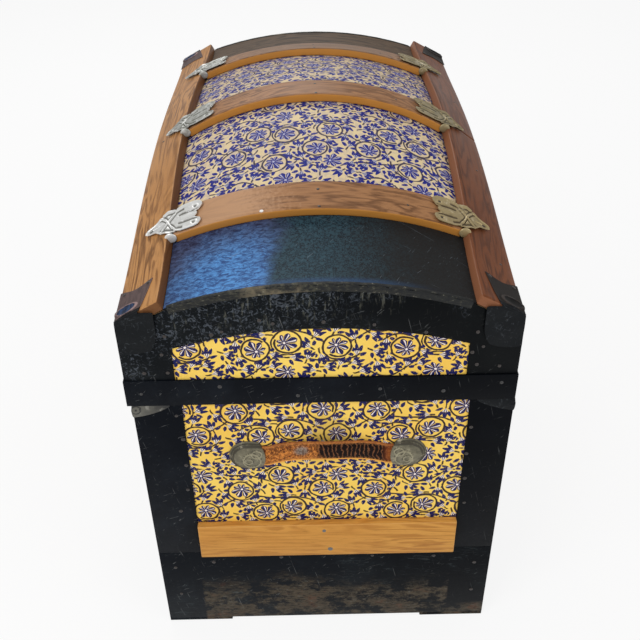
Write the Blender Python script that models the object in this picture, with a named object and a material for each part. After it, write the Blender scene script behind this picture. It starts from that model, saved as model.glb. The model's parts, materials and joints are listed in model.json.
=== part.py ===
"""A dome-top trunk: a paper-covered wooden chest with metal bindings, a slatted arched lid that
swings on two back hinges, a hasp and lock, leather end handles and a lift-out tray.
Metres, +Z up. X runs along the trunk, -Y is the front with the lock, +Y the back with the hinges."""
import bpy
import bmesh
import math
from mathutils import Vector

# Overall sizes
TRUNK_LENGTH = 0.767
BODY_WIDTH = 0.4515
LID_OVERHANG = 0.0055
SEAM_HEIGHT = 0.421
RUNNER_THICK = 0.005
GAP = 0.0003

# Walls and coverings
BOARD_THICK = 0.011
SHELL_THICK = 0.008
SHEET_THICK = 0.0015

# The lid's roof at the ends, each height over the one before, and how much each rises to the middle
CORNER_OVER_SEAM = 0.108
CORNER_RISE = 0.020
ROOF_EDGE_OVER_CORNER = 0.032
ROOF_EDGE_RISE = 0.0285
ROOF_APEX_OVER_EDGE = 0.028
ROOF_APEX_RISE = 0.0515
ROOF_SHOULDER = 0.059
ROOF_CHORD_SPREAD = 0.0045
ROOF_STEPS = 14
STATION_PITCH = 0.05

# Lid band and the end's paper panel
BAND_HEIGHT = 0.038
BAND_THICK = 0.003
PANEL_CORNER_OVER_BAND = 0.0455
PANEL_ARCH_RISE = 0.0255
LID_CORNER_WRAP = 0.055

# Slats
END_PANEL_LENGTH = 0.144
BENT_SLAT_WIDTH = 0.049
BENT_SLAT_THICK = 0.0115
BENT_SLAT_END_share = 0.985
ROOF_SHEET_END_share = 0.99
EDGE_SLAT_THICK = 0.0135
EDGE_SLAT_INSET = 0.0077
WALL_SLAT_THICK = 0.0105
END_SLAT_BOTTOM = 0.151
END_SLAT_HEIGHT = 0.0615

# Chest bindings
FRONT_STRIP_WIDTH = 0.0585
BACK_STRIP_WIDTH = 0.0527
LONG_STRIP_WIDTH = 0.056
RUNNER_WIDTH = 0.090

# Castings on the lid
CLAMP_TIP_INSET = 0.0225
CLAMP_REACH_OVER_ROOF = 0.0325
CLAMP_WIDTH = 0.048
CLAMP_THICK = 0.0025
CLAMP_SEAT = 0.0006
END_CAP_LENGTH = 0.0475
END_CAP_WIDTH = 0.0355
END_CAP_THICK = 0.0015
END_CAP_TONGUE = 0.043
TONGUE_WIDTH = 0.0545

# How the casting's half width changes from its tip to its inner end, as shares of the full half
CLAMP_TIP_shares = [1.0, 0.72, 0.40, 0.16]
CLAMP_INNER_shares = [0.0, 0.35, 0.70, 1.0]
CLAMP_WIDTH_shares = [0.08, 0.45, 0.80, 1.0, 1.0, 1.0, 0.92, 0.90, 0.62]

# Leather end handles
HANDLE_DROP = 0.087
HANDLE_PLACE = 0.0045
STRAP_HALF_LENGTH = 0.098
STRAP_HEIGHT = 0.032
STRAP_THICK = 0.0048
STRAP_STAND = 0.008
STRAP_LIFT = 0.015
STRAP_FLAT_share = 0.74
STRAP_STEPS = 16
CAP_OVERLAP = 0.021
CAP_END_LENGTH = 0.022
CAP_HEIGHT = 0.048
CAP_THICK = 0.0105
CAP_POCKET_DEPTH = 0.0062
CAP_ROUND_STEPS = 12

# Lid hinges
HINGE_PLACE = 0.125
HINGE_WIDTH = 0.034
HINGE_LEAF_HEIGHT = 0.034
HINGE_LEAF_THICK = 0.002
KNUCKLE_RADIUS = 0.004
KNUCKLE_GAP = 0.0005
PIN_RADIUS = 0.0018
PIN_CLEARANCE = 0.0001
ROUND_SIDES = 12
SMOOTH_ANGLE = math.radians(35)

# Lock and hasp
LOCK_WIDTH = 0.056
LOCK_HEIGHT = 0.062
LOCK_DROP = 0.016
LOCK_THICK = 0.012
LOCK_PLATE_MARGIN = 0.010
LOCK_PLATE_THICK = 0.0025
HASP_PIVOT_RISE = 0.029
HASP_WIDTH = 0.044
HASP_THICK = 0.0025
HASP_TIP_LENGTH = 0.021
HASP_KNUCKLE_RADIUS = 0.0035
HASP_PLATE_HEIGHT = 0.030
HASP_PLATE_THICK = 0.0025
HASP_ARM_share = 0.7
STAPLE_HALF_WIDTH = 0.003
STAPLE_HEIGHT = 0.016
STAPLE_DROP = 0.014
STAPLE_REACH = 0.0078
NOTCH_CLEARANCE = 0.0015
BOLT_HEIGHT = 0.0064
BOLT_THICK = 0.0027
BOLT_LENGTH = 0.013
BOLT_TRAVEL = 0.010
BOLT_CLEARANCE = 0.0003
FIT_CLEARANCE = 0.0005

# Tray
TRAY_DROP = 0.008
TRAY_HEIGHT = 0.075
TRAY_WALL = 0.008
TRAY_FLOOR = 0.005
TRAY_CLEARANCE = 0.003
CLEAT_REACH = 0.014
CLEAT_HEIGHT = 0.018
CLEAT_SETBACK = 0.020

# Sizes worked out from the ones above
LID_WIDTH = BODY_WIDTH + LID_OVERHANG
HALF_LENGTH = TRUNK_LENGTH / 2
BENT_SLAT_PLACE = HALF_LENGTH - END_PANEL_LENGTH
END_SEAT = HALF_LENGTH - SHEET_THICK
WOOD_END = HALF_LENGTH - SHEET_THICK - GAP
BODY_HALF = BODY_WIDTH / 2
SIDE_SEAT = BODY_HALF - SHEET_THICK
BODY_WOOD = BODY_HALF - SHEET_THICK - GAP
BAND_PROUD = BAND_THICK - SHEET_THICK
LID_SHIFT = (BODY_WIDTH - LID_WIDTH) / 2
LID_HALF = LID_WIDTH / 2 - BAND_PROUD
LID_WOOD = LID_HALF - SHEET_THICK - GAP
BAND_TOP = SEAM_HEIGHT + BAND_HEIGHT
PANEL_CORNER_HEIGHT = BAND_TOP + PANEL_CORNER_OVER_BAND
PANEL_APEX_HEIGHT = PANEL_CORNER_HEIGHT + PANEL_ARCH_RISE
CORNER_HEIGHT = SEAM_HEIGHT + CORNER_OVER_SEAM
ROOF_EDGE_HEIGHT = CORNER_HEIGHT + ROOF_EDGE_OVER_CORNER
ROOF_APEX_HEIGHT = ROOF_EDGE_HEIGHT + ROOF_APEX_OVER_EDGE
ROOF_HALF_CHORD = LID_WIDTH / 2 - ROOF_SHOULDER
CLAMP_TIP_PLACE = LID_WIDTH / 2 - CLAMP_TIP_INSET
CLAMP_INNER_PLACE = ROOF_HALF_CHORD - CLAMP_REACH_OVER_ROOF
END_CAP_INNER_PLACE = LID_WIDTH / 2 - END_CAP_WIDTH
TONGUE_INNER_PLACE = LID_WIDTH / 2 - TONGUE_WIDTH
HANDLE_HEIGHT = SEAM_HEIGHT - HANDLE_DROP
CAP_INNER_PLACE = STRAP_HALF_LENGTH - CAP_OVERLAP
CAP_OUTER_PLACE = STRAP_HALF_LENGTH + CAP_END_LENGTH
LOCK_TOP = SEAM_HEIGHT - LOCK_DROP
STAPLE_TOP = LOCK_TOP - STAPLE_DROP
HASP_PIVOT_HEIGHT = SEAM_HEIGHT + HASP_PIVOT_RISE
TRAY_TOP = SEAM_HEIGHT - TRAY_DROP
WALL_BOTTOM = RUNNER_THICK + GAP
WALL_TOP = SEAM_HEIGHT - GAP
BODY_INSIDE = BODY_WOOD - BOARD_THICK
LENGTH_INSIDE = WOOD_END - BOARD_THICK
FLOOR_TOP = WALL_BOTTOM + BOARD_THICK
SEAT_LIFT = -SHEET_THICK
SHELL_TOP_LIFT = SEAT_LIFT - GAP
SHELL_UNDER_LIFT = SHELL_TOP_LIFT - SHELL_THICK
BOARD_TOP_LIFT = SHELL_UNDER_LIFT - GAP
END_SLAT_TOP = END_SLAT_BOTTOM + END_SLAT_HEIGHT
HINGE_AXIS_Y = BODY_HALF + GAP + KNUCKLE_RADIUS
LID_FRONT_FACE = LID_SHIFT - LID_WIDTH / 2
HASP_AXIS_Y = LID_FRONT_FACE - GAP - HASP_PLATE_THICK - FIT_CLEARANCE - HASP_KNUCKLE_RADIUS
TRAY_BOTTOM = TRAY_TOP - TRAY_HEIGHT
TRAY_HALF_WIDTH = BODY_INSIDE + LID_SHIFT - TRAY_CLEARANCE
TRAY_HALF_LENGTH = LENGTH_INSIDE - TRAY_CLEARANCE
FRONT_REACH = HASP_AXIS_Y - HASP_KNUCKLE_RADIUS
BACK_REACH = max(SIDE_SEAT + WALL_SLAT_THICK, HINGE_AXIS_Y + KNUCKLE_RADIUS)
CENTRE_SHIFT = -(FRONT_REACH + BACK_REACH) / 2

# Colour, roughness and metallic value of each finish
FINISHES = {
    "black_sheet": ((0.012, 0.014, 0.020), 0.45, 0.0),
    "pine": ((0.55, 0.36, 0.17), 0.6, 0.0),
    "oak": ((0.36, 0.16, 0.055), 0.42, 0.0),
    "end_oak": ((0.60, 0.30, 0.09), 0.42, 0.0),
    "papered_board": ((0.83, 0.58, 0.13), 0.6, 0.0),
    "papered_shell": ((0.75, 0.58, 0.31), 0.55, 0.0),
    "casting": ((0.35, 0.35, 0.30), 0.42, 0.9),
    "handle_cap": ((0.18, 0.19, 0.13), 0.5, 0.6),
    "leather": ((0.34, 0.12, 0.035), 0.55, 0.0),
    "iron": ((0.03, 0.03, 0.034), 0.45, 0.7),
    "brass": ((0.42, 0.30, 0.12), 0.38, 0.9),
}

PARENTS = {}


def clear_scene():
    for item in list(bpy.data.objects):
        bpy.data.objects.remove(item)


def add_pivot(name, place, carrier=None):
    """An empty on a joint's axis, which carries the moving pieces."""
    pivot = bpy.data.objects.new(name, None)
    bpy.context.scene.collection.objects.link(pivot)
    pivot.empty_display_size = KNUCKLE_RADIUS
    pivot.location = Vector(place)
    if carrier:
        pivot.parent = PARENTS[carrier][0]
        pivot.location = Vector(place) - PARENTS[carrier][1]
    PARENTS[name] = (pivot, Vector(place))


def add_piece(name, mesh, finish, pivot=None, smooth=False):
    """Turns a finished bmesh into a named object with its own material."""
    place = PARENTS[pivot][1] if pivot else Vector((0, 0, 0))
    bmesh.ops.translate(mesh, verts=mesh.verts, vec=-place)
    data = bpy.data.meshes.new(name)
    bmesh.ops.recalc_face_normals(mesh, faces=mesh.faces)
    mesh.to_mesh(data)
    mesh.free()
    if smooth:
        data.shade_smooth()
        data.set_sharp_from_angle(angle=SMOOTH_ANGLE)
    colour, roughness, metallic = FINISHES[finish]
    material = bpy.data.materials.new(name)
    material.use_nodes = True
    shader = material.node_tree.nodes["Principled BSDF"]
    shader.inputs["Base Color"].default_value = (*colour, 1)
    shader.inputs["Roughness"].default_value = roughness
    shader.inputs["Metallic"].default_value = metallic
    data.materials.append(material)
    piece = bpy.data.objects.new(name, data)
    bpy.context.scene.collection.objects.link(piece)
    if pivot:
        piece.parent = PARENTS[pivot][0]
    return piece


def add_loops(mesh, loops, closed=False):
    """Joins a row of point loops with faces, and fills both ends unless the row closes on itself."""
    rings = [[mesh.verts.new(point) for point in loop] for loop in loops]
    pairs = list(zip(rings, rings[1:]))
    if closed:
        pairs.append((rings[-1], rings[0]))
    for first, second in pairs:
        for index in range(len(first)):
            after = (index + 1) % len(first)
            mesh.faces.new((first[index], first[after], second[after], second[index]))
    if not closed:
        mesh.faces.new(reversed(rings[0]))
        mesh.faces.new(rings[-1])


def add_plate(mesh, outer, inner):
    """A closed plate between two grids of points, each a list of rows."""
    rows = len(outer)
    columns = len(outer[0])
    top = [[mesh.verts.new(point) for point in row] for row in outer]
    under = [[mesh.verts.new(point) for point in row] for row in inner]
    for row in range(rows - 1):
        for column in range(columns - 1):
            for grid in (top, under):
                corners = (grid[row][column], grid[row + 1][column], grid[row + 1][column + 1])
                mesh.faces.new(corners)
                corners = (grid[row][column], grid[row + 1][column + 1], grid[row][column + 1])
                mesh.faces.new(corners)
    rim = [(0, column) for column in range(columns)]
    rim += [(row, columns - 1) for row in range(1, rows)]
    rim += [(rows - 1, column) for column in range(columns - 2, -1, -1)]
    rim += [(row, 0) for row in range(rows - 2, 0, -1)]
    for (row, column), (next_row, next_column) in zip(rim, rim[1:] + rim[:1]):
        side = (top[row][column], top[next_row][next_column])
        back = (under[next_row][next_column], under[row][column])
        mesh.faces.new(side + back)


def add_box(mesh, low, high):
    bottom = [(low[0], low[1]), (high[0], low[1]), (high[0], high[1]), (low[0], high[1])]
    loops = [[Vector((x, y, z)) for x, y in bottom] for z in (low[2], high[2])]
    add_loops(mesh, loops)


def add_prism(mesh, outline, shift):
    """An outline of points pushed along a vector."""
    add_loops(mesh, [outline, [point + shift for point in outline]])


def circle_points(centre, radius, axis, sides, start=0.0, sweep=math.tau):
    """Points round an axis: 0 is X, 1 is Y and 2 is Z. A full turn leaves out its last point."""
    first, second = [(1, 2), (2, 0), (0, 1)][axis]
    count = sides if sweep == math.tau else sides + 1
    points = []
    for index in range(count):
        angle = start + sweep * index / sides
        point = Vector(centre)
        point[first] += radius * math.cos(angle)
        point[second] += radius * math.sin(angle)
        points.append(point)
    return points


def add_cylinder(mesh, start, radius, axis, length, sides=ROUND_SIDES):
    shift = Vector((0, 0, 0))
    shift[axis] = length
    add_prism(mesh, circle_points(start, radius, axis, sides), shift)


def combine(piece, tool_mesh, operation):
    """Joins a second shape to a piece, or cuts it away, and bakes the result."""
    if piece.parent:
        place = PARENTS[piece.parent.name][1]
        bmesh.ops.translate(tool_mesh, verts=tool_mesh.verts, vec=-place)
    bmesh.ops.recalc_face_normals(tool_mesh, faces=tool_mesh.faces)
    data = bpy.data.meshes.new("tool")
    tool_mesh.to_mesh(data)
    tool_mesh.free()
    tool = bpy.data.objects.new("tool", data)
    bpy.context.scene.collection.objects.link(tool)
    tool.parent = piece.parent
    modifier = piece.modifiers.new("combine", "BOOLEAN")
    modifier.operation = operation
    modifier.object = tool
    bpy.context.view_layer.update()
    graph = bpy.context.evaluated_depsgraph_get()
    baked = bpy.data.meshes.new_from_object(piece.evaluated_get(graph))
    piece.modifiers.clear()
    piece.data = baked
    bpy.data.objects.remove(tool)


def stations(low, high):
    """Places along X where the lid's long pieces have an edge, so that stacked pieces match."""
    half = BENT_SLAT_WIDTH / 2
    marks = [0.0, half, BENT_SLAT_PLACE - half, BENT_SLAT_PLACE, BENT_SLAT_PLACE + half, WOOD_END]
    places = [0.0]
    for first, second in zip(marks, marks[1:]):
        steps = math.ceil((second - first) / STATION_PITCH)
        places += [first + (second - first) * step / steps for step in range(1, steps + 1)]
    places = [-place for place in reversed(places[1:])] + places
    inner = [place for place in places if low + GAP < place < high - GAP]
    return [low] + inner + [high]


def roof(x):
    """The roof's section at one place along the trunk, which is highest at the middle."""
    share = (1 - (x / HALF_LENGTH) ** 2) ** 2
    half = ROOF_HALF_CHORD + ROOF_CHORD_SPREAD * share
    edge = ROOF_EDGE_HEIGHT + ROOF_EDGE_RISE * share
    rise = ROOF_APEX_HEIGHT + ROOF_APEX_RISE * share - edge
    corner = CORNER_HEIGHT + CORNER_RISE * share
    radius = (half ** 2 + rise ** 2) / (2 * rise)
    return half, edge, corner, radius, math.asin(half / radius), edge + rise - radius


def arc_point(x, place, lift):
    """A point over the round part: place runs from -1 at the front edge to 1 at the back."""
    half, edge, corner, radius, angle, centre = roof(x)
    turn = angle * place
    reach = radius + lift
    return Vector((x, LID_SHIFT + reach * math.sin(turn), centre + reach * math.cos(turn)))


def bevel_point(x, side, reach, lift):
    """A point on the flat slope between the round part and the lid's side, reach from the middle."""
    half, edge, corner, radius, angle, centre = roof(x)
    slope = math.atan2(edge - corner, LID_HALF - half)
    start = half + lift * math.sin(angle)
    top = edge + lift * math.cos(angle)
    bottom = corner + lift / math.cos(slope)
    share = (reach - start) / (LID_HALF - start)
    return Vector((x, LID_SHIFT + side * reach, top + (bottom - top) * share))


def slope_normal(x, side):
    half, edge, corner, radius, angle, centre = roof(x)
    slope = math.atan2(edge - corner, LID_HALF - half)
    return Vector((0, side * math.sin(slope), math.cos(slope)))


def roof_row(x, lift, reach=LID_WOOD):
    """A row of points across the whole roof."""
    row = [arc_point(x, 2 * step / ROOF_STEPS - 1, lift) for step in range(ROOF_STEPS + 1)]
    return [bevel_point(x, -1, reach, lift)] + row + [bevel_point(x, 1, reach, lift)]


def add_roof_sheet(mesh, low, high, top_lift, under_lift, reach=LID_WOOD):
    places = stations(low, high)
    outer = [roof_row(x, top_lift, reach) for x in places]
    inner = [roof_row(x, under_lift, reach) for x in places]
    add_plate(mesh, outer, inner)


def build_chest_boards():
    mesh = bmesh.new()
    reach = BODY_INSIDE - GAP
    inner = LENGTH_INSIDE - GAP
    add_box(mesh, (-inner, -reach, WALL_BOTTOM), (inner, reach, FLOOR_TOP))
    add_piece("floor_board", mesh, "pine")
    for name, side in (("front_board", -1), ("back_board", 1)):
        mesh = bmesh.new()
        low, high = sorted((side * BODY_INSIDE, side * BODY_WOOD))
        add_box(mesh, (-WOOD_END, low, WALL_BOTTOM), (WOOD_END, high, WALL_TOP))
        add_piece(name, mesh, "papered_board")
    for name, side in (("end_board_right", 1), ("end_board_left", -1)):
        mesh = bmesh.new()
        low, high = sorted((side * LENGTH_INSIDE, side * WOOD_END))
        add_box(mesh, (low, -reach, WALL_BOTTOM), (high, reach, WALL_TOP))
        add_piece(name, mesh, "papered_board")
    for name, side in (("runner_front", -1), ("runner_back", 1)):
        mesh = bmesh.new()
        low, high = sorted((side * BODY_HALF, side * (BODY_HALF - RUNNER_WIDTH)))
        add_box(mesh, (-HALF_LENGTH, low, 0), (HALF_LENGTH, high, RUNNER_THICK))
        add_piece(name, mesh, "black_sheet")


def add_band(mesh, length, width, thick, bottom, top, shift=0.0):
    """A band round the trunk, given by half its outer length and width."""
    loops = []
    for inset, z in ((0, bottom), (0, top), (thick, top), (thick, bottom)):
        x = length - inset
        y = width - inset
        corners = ((-x, -y), (x, -y), (x, y), (-x, y))
        loops.append([Vector((across, shift + along, z)) for across, along in corners])
    add_loops(mesh, loops, closed=True)


def build_chest_bindings():
    """The sheet round the bottom, and the strips folded round the upright corners."""
    mesh = bmesh.new()
    add_band(mesh, HALF_LENGTH, BODY_HALF, SHEET_THICK, WALL_BOTTOM, END_SLAT_BOTTOM)
    add_piece("bottom_binding", mesh, "black_sheet")
    for end_name, end in (("right", 1), ("left", -1)):
        for side_name, side, width in (("front", -1, FRONT_STRIP_WIDTH), ("back", 1, BACK_STRIP_WIDTH)):
            plan = [(HALF_LENGTH, BODY_HALF), (HALF_LENGTH, BODY_HALF - width)]
            plan += [(END_SEAT, BODY_HALF - width), (END_SEAT, SIDE_SEAT)]
            plan += [(HALF_LENGTH - LONG_STRIP_WIDTH, SIDE_SEAT), (HALF_LENGTH - LONG_STRIP_WIDTH, BODY_HALF)]
            low = END_SLAT_BOTTOM + GAP
            mesh = bmesh.new()
            outline = [Vector((end * x, side * y, low)) for x, y in plan]
            add_prism(mesh, outline, Vector((0, 0, WALL_TOP - low)))
            add_piece(f"corner_strip_{side_name}_{end_name}", mesh, "black_sheet")


def build_wall_slats():
    front = BODY_HALF - FRONT_STRIP_WIDTH - GAP
    back = BODY_HALF - BACK_STRIP_WIDTH - GAP
    low = END_SLAT_BOTTOM + GAP
    for name, side in (("end_slat_right", 1), ("end_slat_left", -1)):
        mesh = bmesh.new()
        near, far = sorted((side * END_SEAT, side * (END_SEAT + WALL_SLAT_THICK)))
        add_box(mesh, (near, -front, low), (far, back, END_SLAT_TOP))
        add_piece(name, mesh, "end_oak")
    end = HALF_LENGTH - LONG_STRIP_WIDTH - GAP
    for name, side in (("front_rail", -1), ("back_rail", 1)):
        mesh = bmesh.new()
        near, far = sorted((side * SIDE_SEAT, side * (SIDE_SEAT + WALL_SLAT_THICK)))
        add_box(mesh, (-end, near, low), (end, far, END_SLAT_TOP))
        add_piece(name, mesh, "oak")


def strap_place(share):
    """Where the strap's inner face stands off the wall and how far it is lifted."""
    flat = min(abs(share) / STRAP_FLAT_share, 1)
    stand = STRAP_STAND * (1 + math.cos(math.pi * flat)) / 2
    return END_SEAT + GAP + stand, STRAP_LIFT * (1 - flat ** 2)


def build_handles():
    for name, side in (("right", 1), ("left", -1)):
        mesh = bmesh.new()
        outer = []
        inner = []
        for step in range(STRAP_STEPS + 1):
            share = 2 * step / STRAP_STEPS - 1
            y = HANDLE_PLACE + STRAP_HALF_LENGTH * share
            x, lift = strap_place(share)
            edges = (HANDLE_HEIGHT + lift - STRAP_HEIGHT / 2, HANDLE_HEIGHT + lift + STRAP_HEIGHT / 2)
            inner.append([Vector((side * x, y, z)) for z in edges])
            outer.append([Vector((side * (x + STRAP_THICK), y, z)) for z in edges])
        add_plate(mesh, outer, inner)
        add_piece("handle_strap_" + name, mesh, "leather", smooth=True)
        for end_name, end in (("front", -1), ("back", 1)):
            mesh = bmesh.new()
            add_handle_cap(mesh, side, end)
            piece = add_piece(f"handle_cap_{end_name}_{name}", mesh, "handle_cap")
            half = STRAP_HEIGHT / 2 + FIT_CLEARANCE
            inner_edge = HANDLE_PLACE + end * (CAP_INNER_PLACE - CAP_THICK)
            outer_edge = HANDLE_PLACE + end * (STRAP_HALF_LENGTH + FIT_CLEARANCE)
            low_y, high_y = sorted((inner_edge, outer_edge))
            low_x, high_x = sorted((side * (END_SEAT - CAP_THICK), side * (END_SEAT + CAP_POCKET_DEPTH)))
            pocket = bmesh.new()
            low = (low_x, low_y, HANDLE_HEIGHT - half)
            add_box(pocket, low, (high_x, high_y, HANDLE_HEIGHT + half))
            combine(piece, pocket, "DIFFERENCE")


def add_handle_cap(mesh, side, end):
    """A cast cap with a round outer end, drawn in a little towards its face."""
    radius = CAP_HEIGHT / 2
    middle = HANDLE_PLACE + end * (CAP_OUTER_PLACE - radius)
    inner = HANDLE_PLACE + end * CAP_INNER_PLACE
    loops = []
    for depth, draw in ((0, 0), (CAP_THICK / 2, 0), (CAP_THICK, CAP_THICK / 3)):
        x = side * (END_SEAT + depth)
        loop = []
        for step in range(CAP_ROUND_STEPS + 1):
            angle = math.pi * (step / CAP_ROUND_STEPS - 1 / 2)
            y = middle + end * (radius - draw) * math.cos(angle)
            loop.append(Vector((x, y, HANDLE_HEIGHT + (radius - draw) * math.sin(angle))))
        loop.append(Vector((x, inner, HANDLE_HEIGHT + radius - draw)))
        loop.append(Vector((x, inner, HANDLE_HEIGHT - radius + draw)))
        loops.append(loop)
    add_loops(mesh, loops)


def build_lid_boards():
    reach = LID_WOOD - BOARD_THICK
    for name, side in (("lid_front_board", -1), ("lid_back_board", 1)):
        mesh = bmesh.new()
        grids = []
        for place in (LID_WOOD, reach):
            rows = []
            for x in stations(-WOOD_END, WOOD_END):
                top = bevel_point(x, side, place, BOARD_TOP_LIFT)
                rows.append([Vector((x, top.y, SEAM_HEIGHT)), top])
            grids.append(rows)
        add_plate(mesh, *grids)
        add_piece(name, mesh, "pine", "lid_pivot")
    for name, side in (("lid_end_board_right", 1), ("lid_end_board_left", -1)):
        mesh = bmesh.new()
        grids = []
        for x in (side * WOOD_END, side * LENGTH_INSIDE):
            row = roof_row(side * HALF_LENGTH, BOARD_TOP_LIFT, reach - GAP)
            top = [Vector((x, point.y, point.z)) for point in row]
            grids.append([[Vector((x, point.y, SEAM_HEIGHT)) for point in row], top])
        add_plate(mesh, *grids)
        add_piece(name, mesh, "pine", "lid_pivot")
    mesh = bmesh.new()
    add_roof_sheet(mesh, -WOOD_END, WOOD_END, SHELL_TOP_LIFT, SHELL_UNDER_LIFT)
    add_piece("dome_shell", mesh, "papered_shell", "lid_pivot")


def panel_row(x):
    """The arched top edge of the end's paper panel."""
    rise = PANEL_APEX_HEIGHT - PANEL_CORNER_HEIGHT
    radius = (ROOF_HALF_CHORD ** 2 + rise ** 2) / (2 * rise)
    angle = math.asin(ROOF_HALF_CHORD / radius)
    centre = PANEL_APEX_HEIGHT - radius
    row = []
    for step in range(ROOF_STEPS + 1):
        turn = angle * (2 * step / ROOF_STEPS - 1)
        row.append(Vector((x, LID_SHIFT + radius * math.sin(turn), centre + radius * math.cos(turn))))
    return row


def build_lid_ends():
    """The sheet on each end of the lid: an arch over the paper panel, folded round both corners."""
    for name, side in (("right", 1), ("left", -1)):
        back = side * END_SEAT
        face = side * HALF_LENGTH
        mesh = bmesh.new()
        grids = []
        for x in (face, back):
            top = [arc_point(face, 2 * step / ROOF_STEPS - 1, 0) for step in range(ROOF_STEPS + 1)]
            grids.append([panel_row(x), [Vector((x, point.y, point.z)) for point in top]])
        add_plate(mesh, *grids)
        piece = add_piece("lid_end_binding_" + name, mesh, "black_sheet", "lid_pivot")
        for flank in (-1, 1):
            corner = bmesh.new()
            add_lid_corner(corner, side, flank)
            combine(piece, corner, "UNION")


def add_lid_corner(mesh, side, flank):
    """A sheet folded round one corner of the lid, whose top follows the roof."""
    inner = ROOF_HALF_CHORD - SHEET_THICK
    plan = [(HALF_LENGTH, LID_HALF), (HALF_LENGTH, ROOF_HALF_CHORD), (HALF_LENGTH, inner)]
    plan += [(END_SEAT, inner), (END_SEAT, ROOF_HALF_CHORD), (END_SEAT, LID_HALF - SHEET_THICK)]
    plan += [(HALF_LENGTH - LID_CORNER_WRAP, LID_HALF - SHEET_THICK)]
    plan += [(HALF_LENGTH - LID_CORNER_WRAP, LID_HALF)]
    top = [bevel_point(side * x, flank, y, SHELL_TOP_LIFT) for x, y in plan]
    bottom = [Vector((point.x, point.y, BAND_TOP + GAP)) for point in top]
    add_loops(mesh, [bottom, top])


def build_lid_coverings():
    slat_edge = BENT_SLAT_PLACE + BENT_SLAT_WIDTH / 2 + GAP
    for name, side in (("right", 1), ("left", -1)):
        mesh = bmesh.new()
        low, high = sorted((side * slat_edge, side * WOOD_END))
        grids = []
        for lift in (0, SEAT_LIFT):
            rows = []
            for x in stations(low, high):
                shares = [2 * step / ROOF_STEPS - 1 for step in range(1, ROOF_STEPS)]
                shares = [-ROOF_SHEET_END_share] + shares + [ROOF_SHEET_END_share]
                rows.append([arc_point(x, share, lift) for share in shares])
            grids.append(rows)
        add_plate(mesh, *grids)
        add_piece("dome_sheet_" + name, mesh, "black_sheet", "lid_pivot")
    mesh = bmesh.new()
    add_band(mesh, HALF_LENGTH + BAND_PROUD, LID_WIDTH / 2, BAND_THICK, SEAM_HEIGHT, BAND_TOP, LID_SHIFT)
    add_piece("lid_band", mesh, "black_sheet", "lid_pivot")


def edge_slat_row(x, side):
    """Inner and outer points of the edge slat's underside."""
    half, edge, corner, radius, angle, centre = roof(x)
    outer = LID_HALF - EDGE_SLAT_INSET
    start = bevel_point(x, side, half + FIT_CLEARANCE, SEAT_LIFT)
    return [start, bevel_point(x, side, outer, SEAT_LIFT)]


def build_lid_slats():
    seam = GAP / 2
    end = HALF_LENGTH - GAP
    parts = {"edge_slat_front": (-1, -end, end), "edge_slat_back_left": (1, -end, -seam)}
    parts["edge_slat_back_right"] = (1, seam, end)
    for name, (side, low, high) in parts.items():
        inner = [edge_slat_row(x, side)[::side] for x in stations(low, high)]
        outer = []
        for row in inner:
            shift = slope_normal(row[0].x, side) * EDGE_SLAT_THICK
            outer.append([point + shift for point in row])
        mesh = bmesh.new()
        add_plate(mesh, outer, inner)
        add_piece(name, mesh, "oak", "lid_pivot")
    half = BENT_SLAT_WIDTH / 2
    shares = [2 * step / ROOF_STEPS - 1 for step in range(1, ROOF_STEPS)]
    shares = [-BENT_SLAT_END_share] + shares + [BENT_SLAT_END_share]
    for name, middle in (("right", BENT_SLAT_PLACE), ("middle", 0.0), ("left", -BENT_SLAT_PLACE)):
        mesh = bmesh.new()
        places = (middle - half, middle, middle + half)
        outer = [[arc_point(x, share, SEAT_LIFT + BENT_SLAT_THICK) for share in shares] for x in places]
        inner = [[arc_point(x, share, SEAT_LIFT) for share in shares] for x in places]
        add_plate(mesh, outer, inner)
        add_piece("bent_slat_" + name, mesh, "oak", "lid_pivot")


def clamp_points(x, side):
    """The casting's seat from its tip on the edge slat, over the slat's corner, to the bent slat."""
    half, edge, corner, radius, angle, centre = roof(x)
    lift = SEAT_LIFT + EDGE_SLAT_THICK + CLAMP_SEAT
    lean = slope_normal(x, side) * (EDGE_SLAT_THICK + CLAMP_SEAT)
    inner_corner = edge_slat_row(x, side)[0] + lean
    reach = abs(inner_corner.y - LID_SHIFT)
    spans = [reach + (CLAMP_TIP_PLACE - reach) * share for share in CLAMP_TIP_shares]
    row = [bevel_point(x, side, place, lift) for place in spans] + [inner_corner]
    low = SEAT_LIFT + BENT_SLAT_THICK + CLAMP_SEAT
    end = math.asin(CLAMP_INNER_PLACE / (radius + low)) / angle
    for share in CLAMP_INNER_shares:
        place = BENT_SLAT_END_share + (end - BENT_SLAT_END_share) * share
        row.append(arc_point(x, side * place, low))
    return row


def build_clamps():
    middles = (("left", -BENT_SLAT_PLACE), ("middle", 0.0), ("right", BENT_SLAT_PLACE))
    for name, middle in middles:
        for side_name, side in (("front", -1), ("back", 1)):
            columns = []
            for offset in (-1, 0, 1):
                column = []
                for index, share in enumerate(CLAMP_WIDTH_shares):
                    x = middle + offset * share * CLAMP_WIDTH / 2
                    column.append(clamp_points(x, side)[index])
                columns.append(column)
            seat = [list(row) for row in zip(*columns)]
            lean = slope_normal(middle, side) * CLAMP_THICK
            face = [[point + lean for point in row] for row in seat]
            mesh = bmesh.new()
            add_plate(mesh, face, seat)
            add_piece(f"slat_clamp_{side_name}_{name}", mesh, "casting", "lid_pivot")


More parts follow.
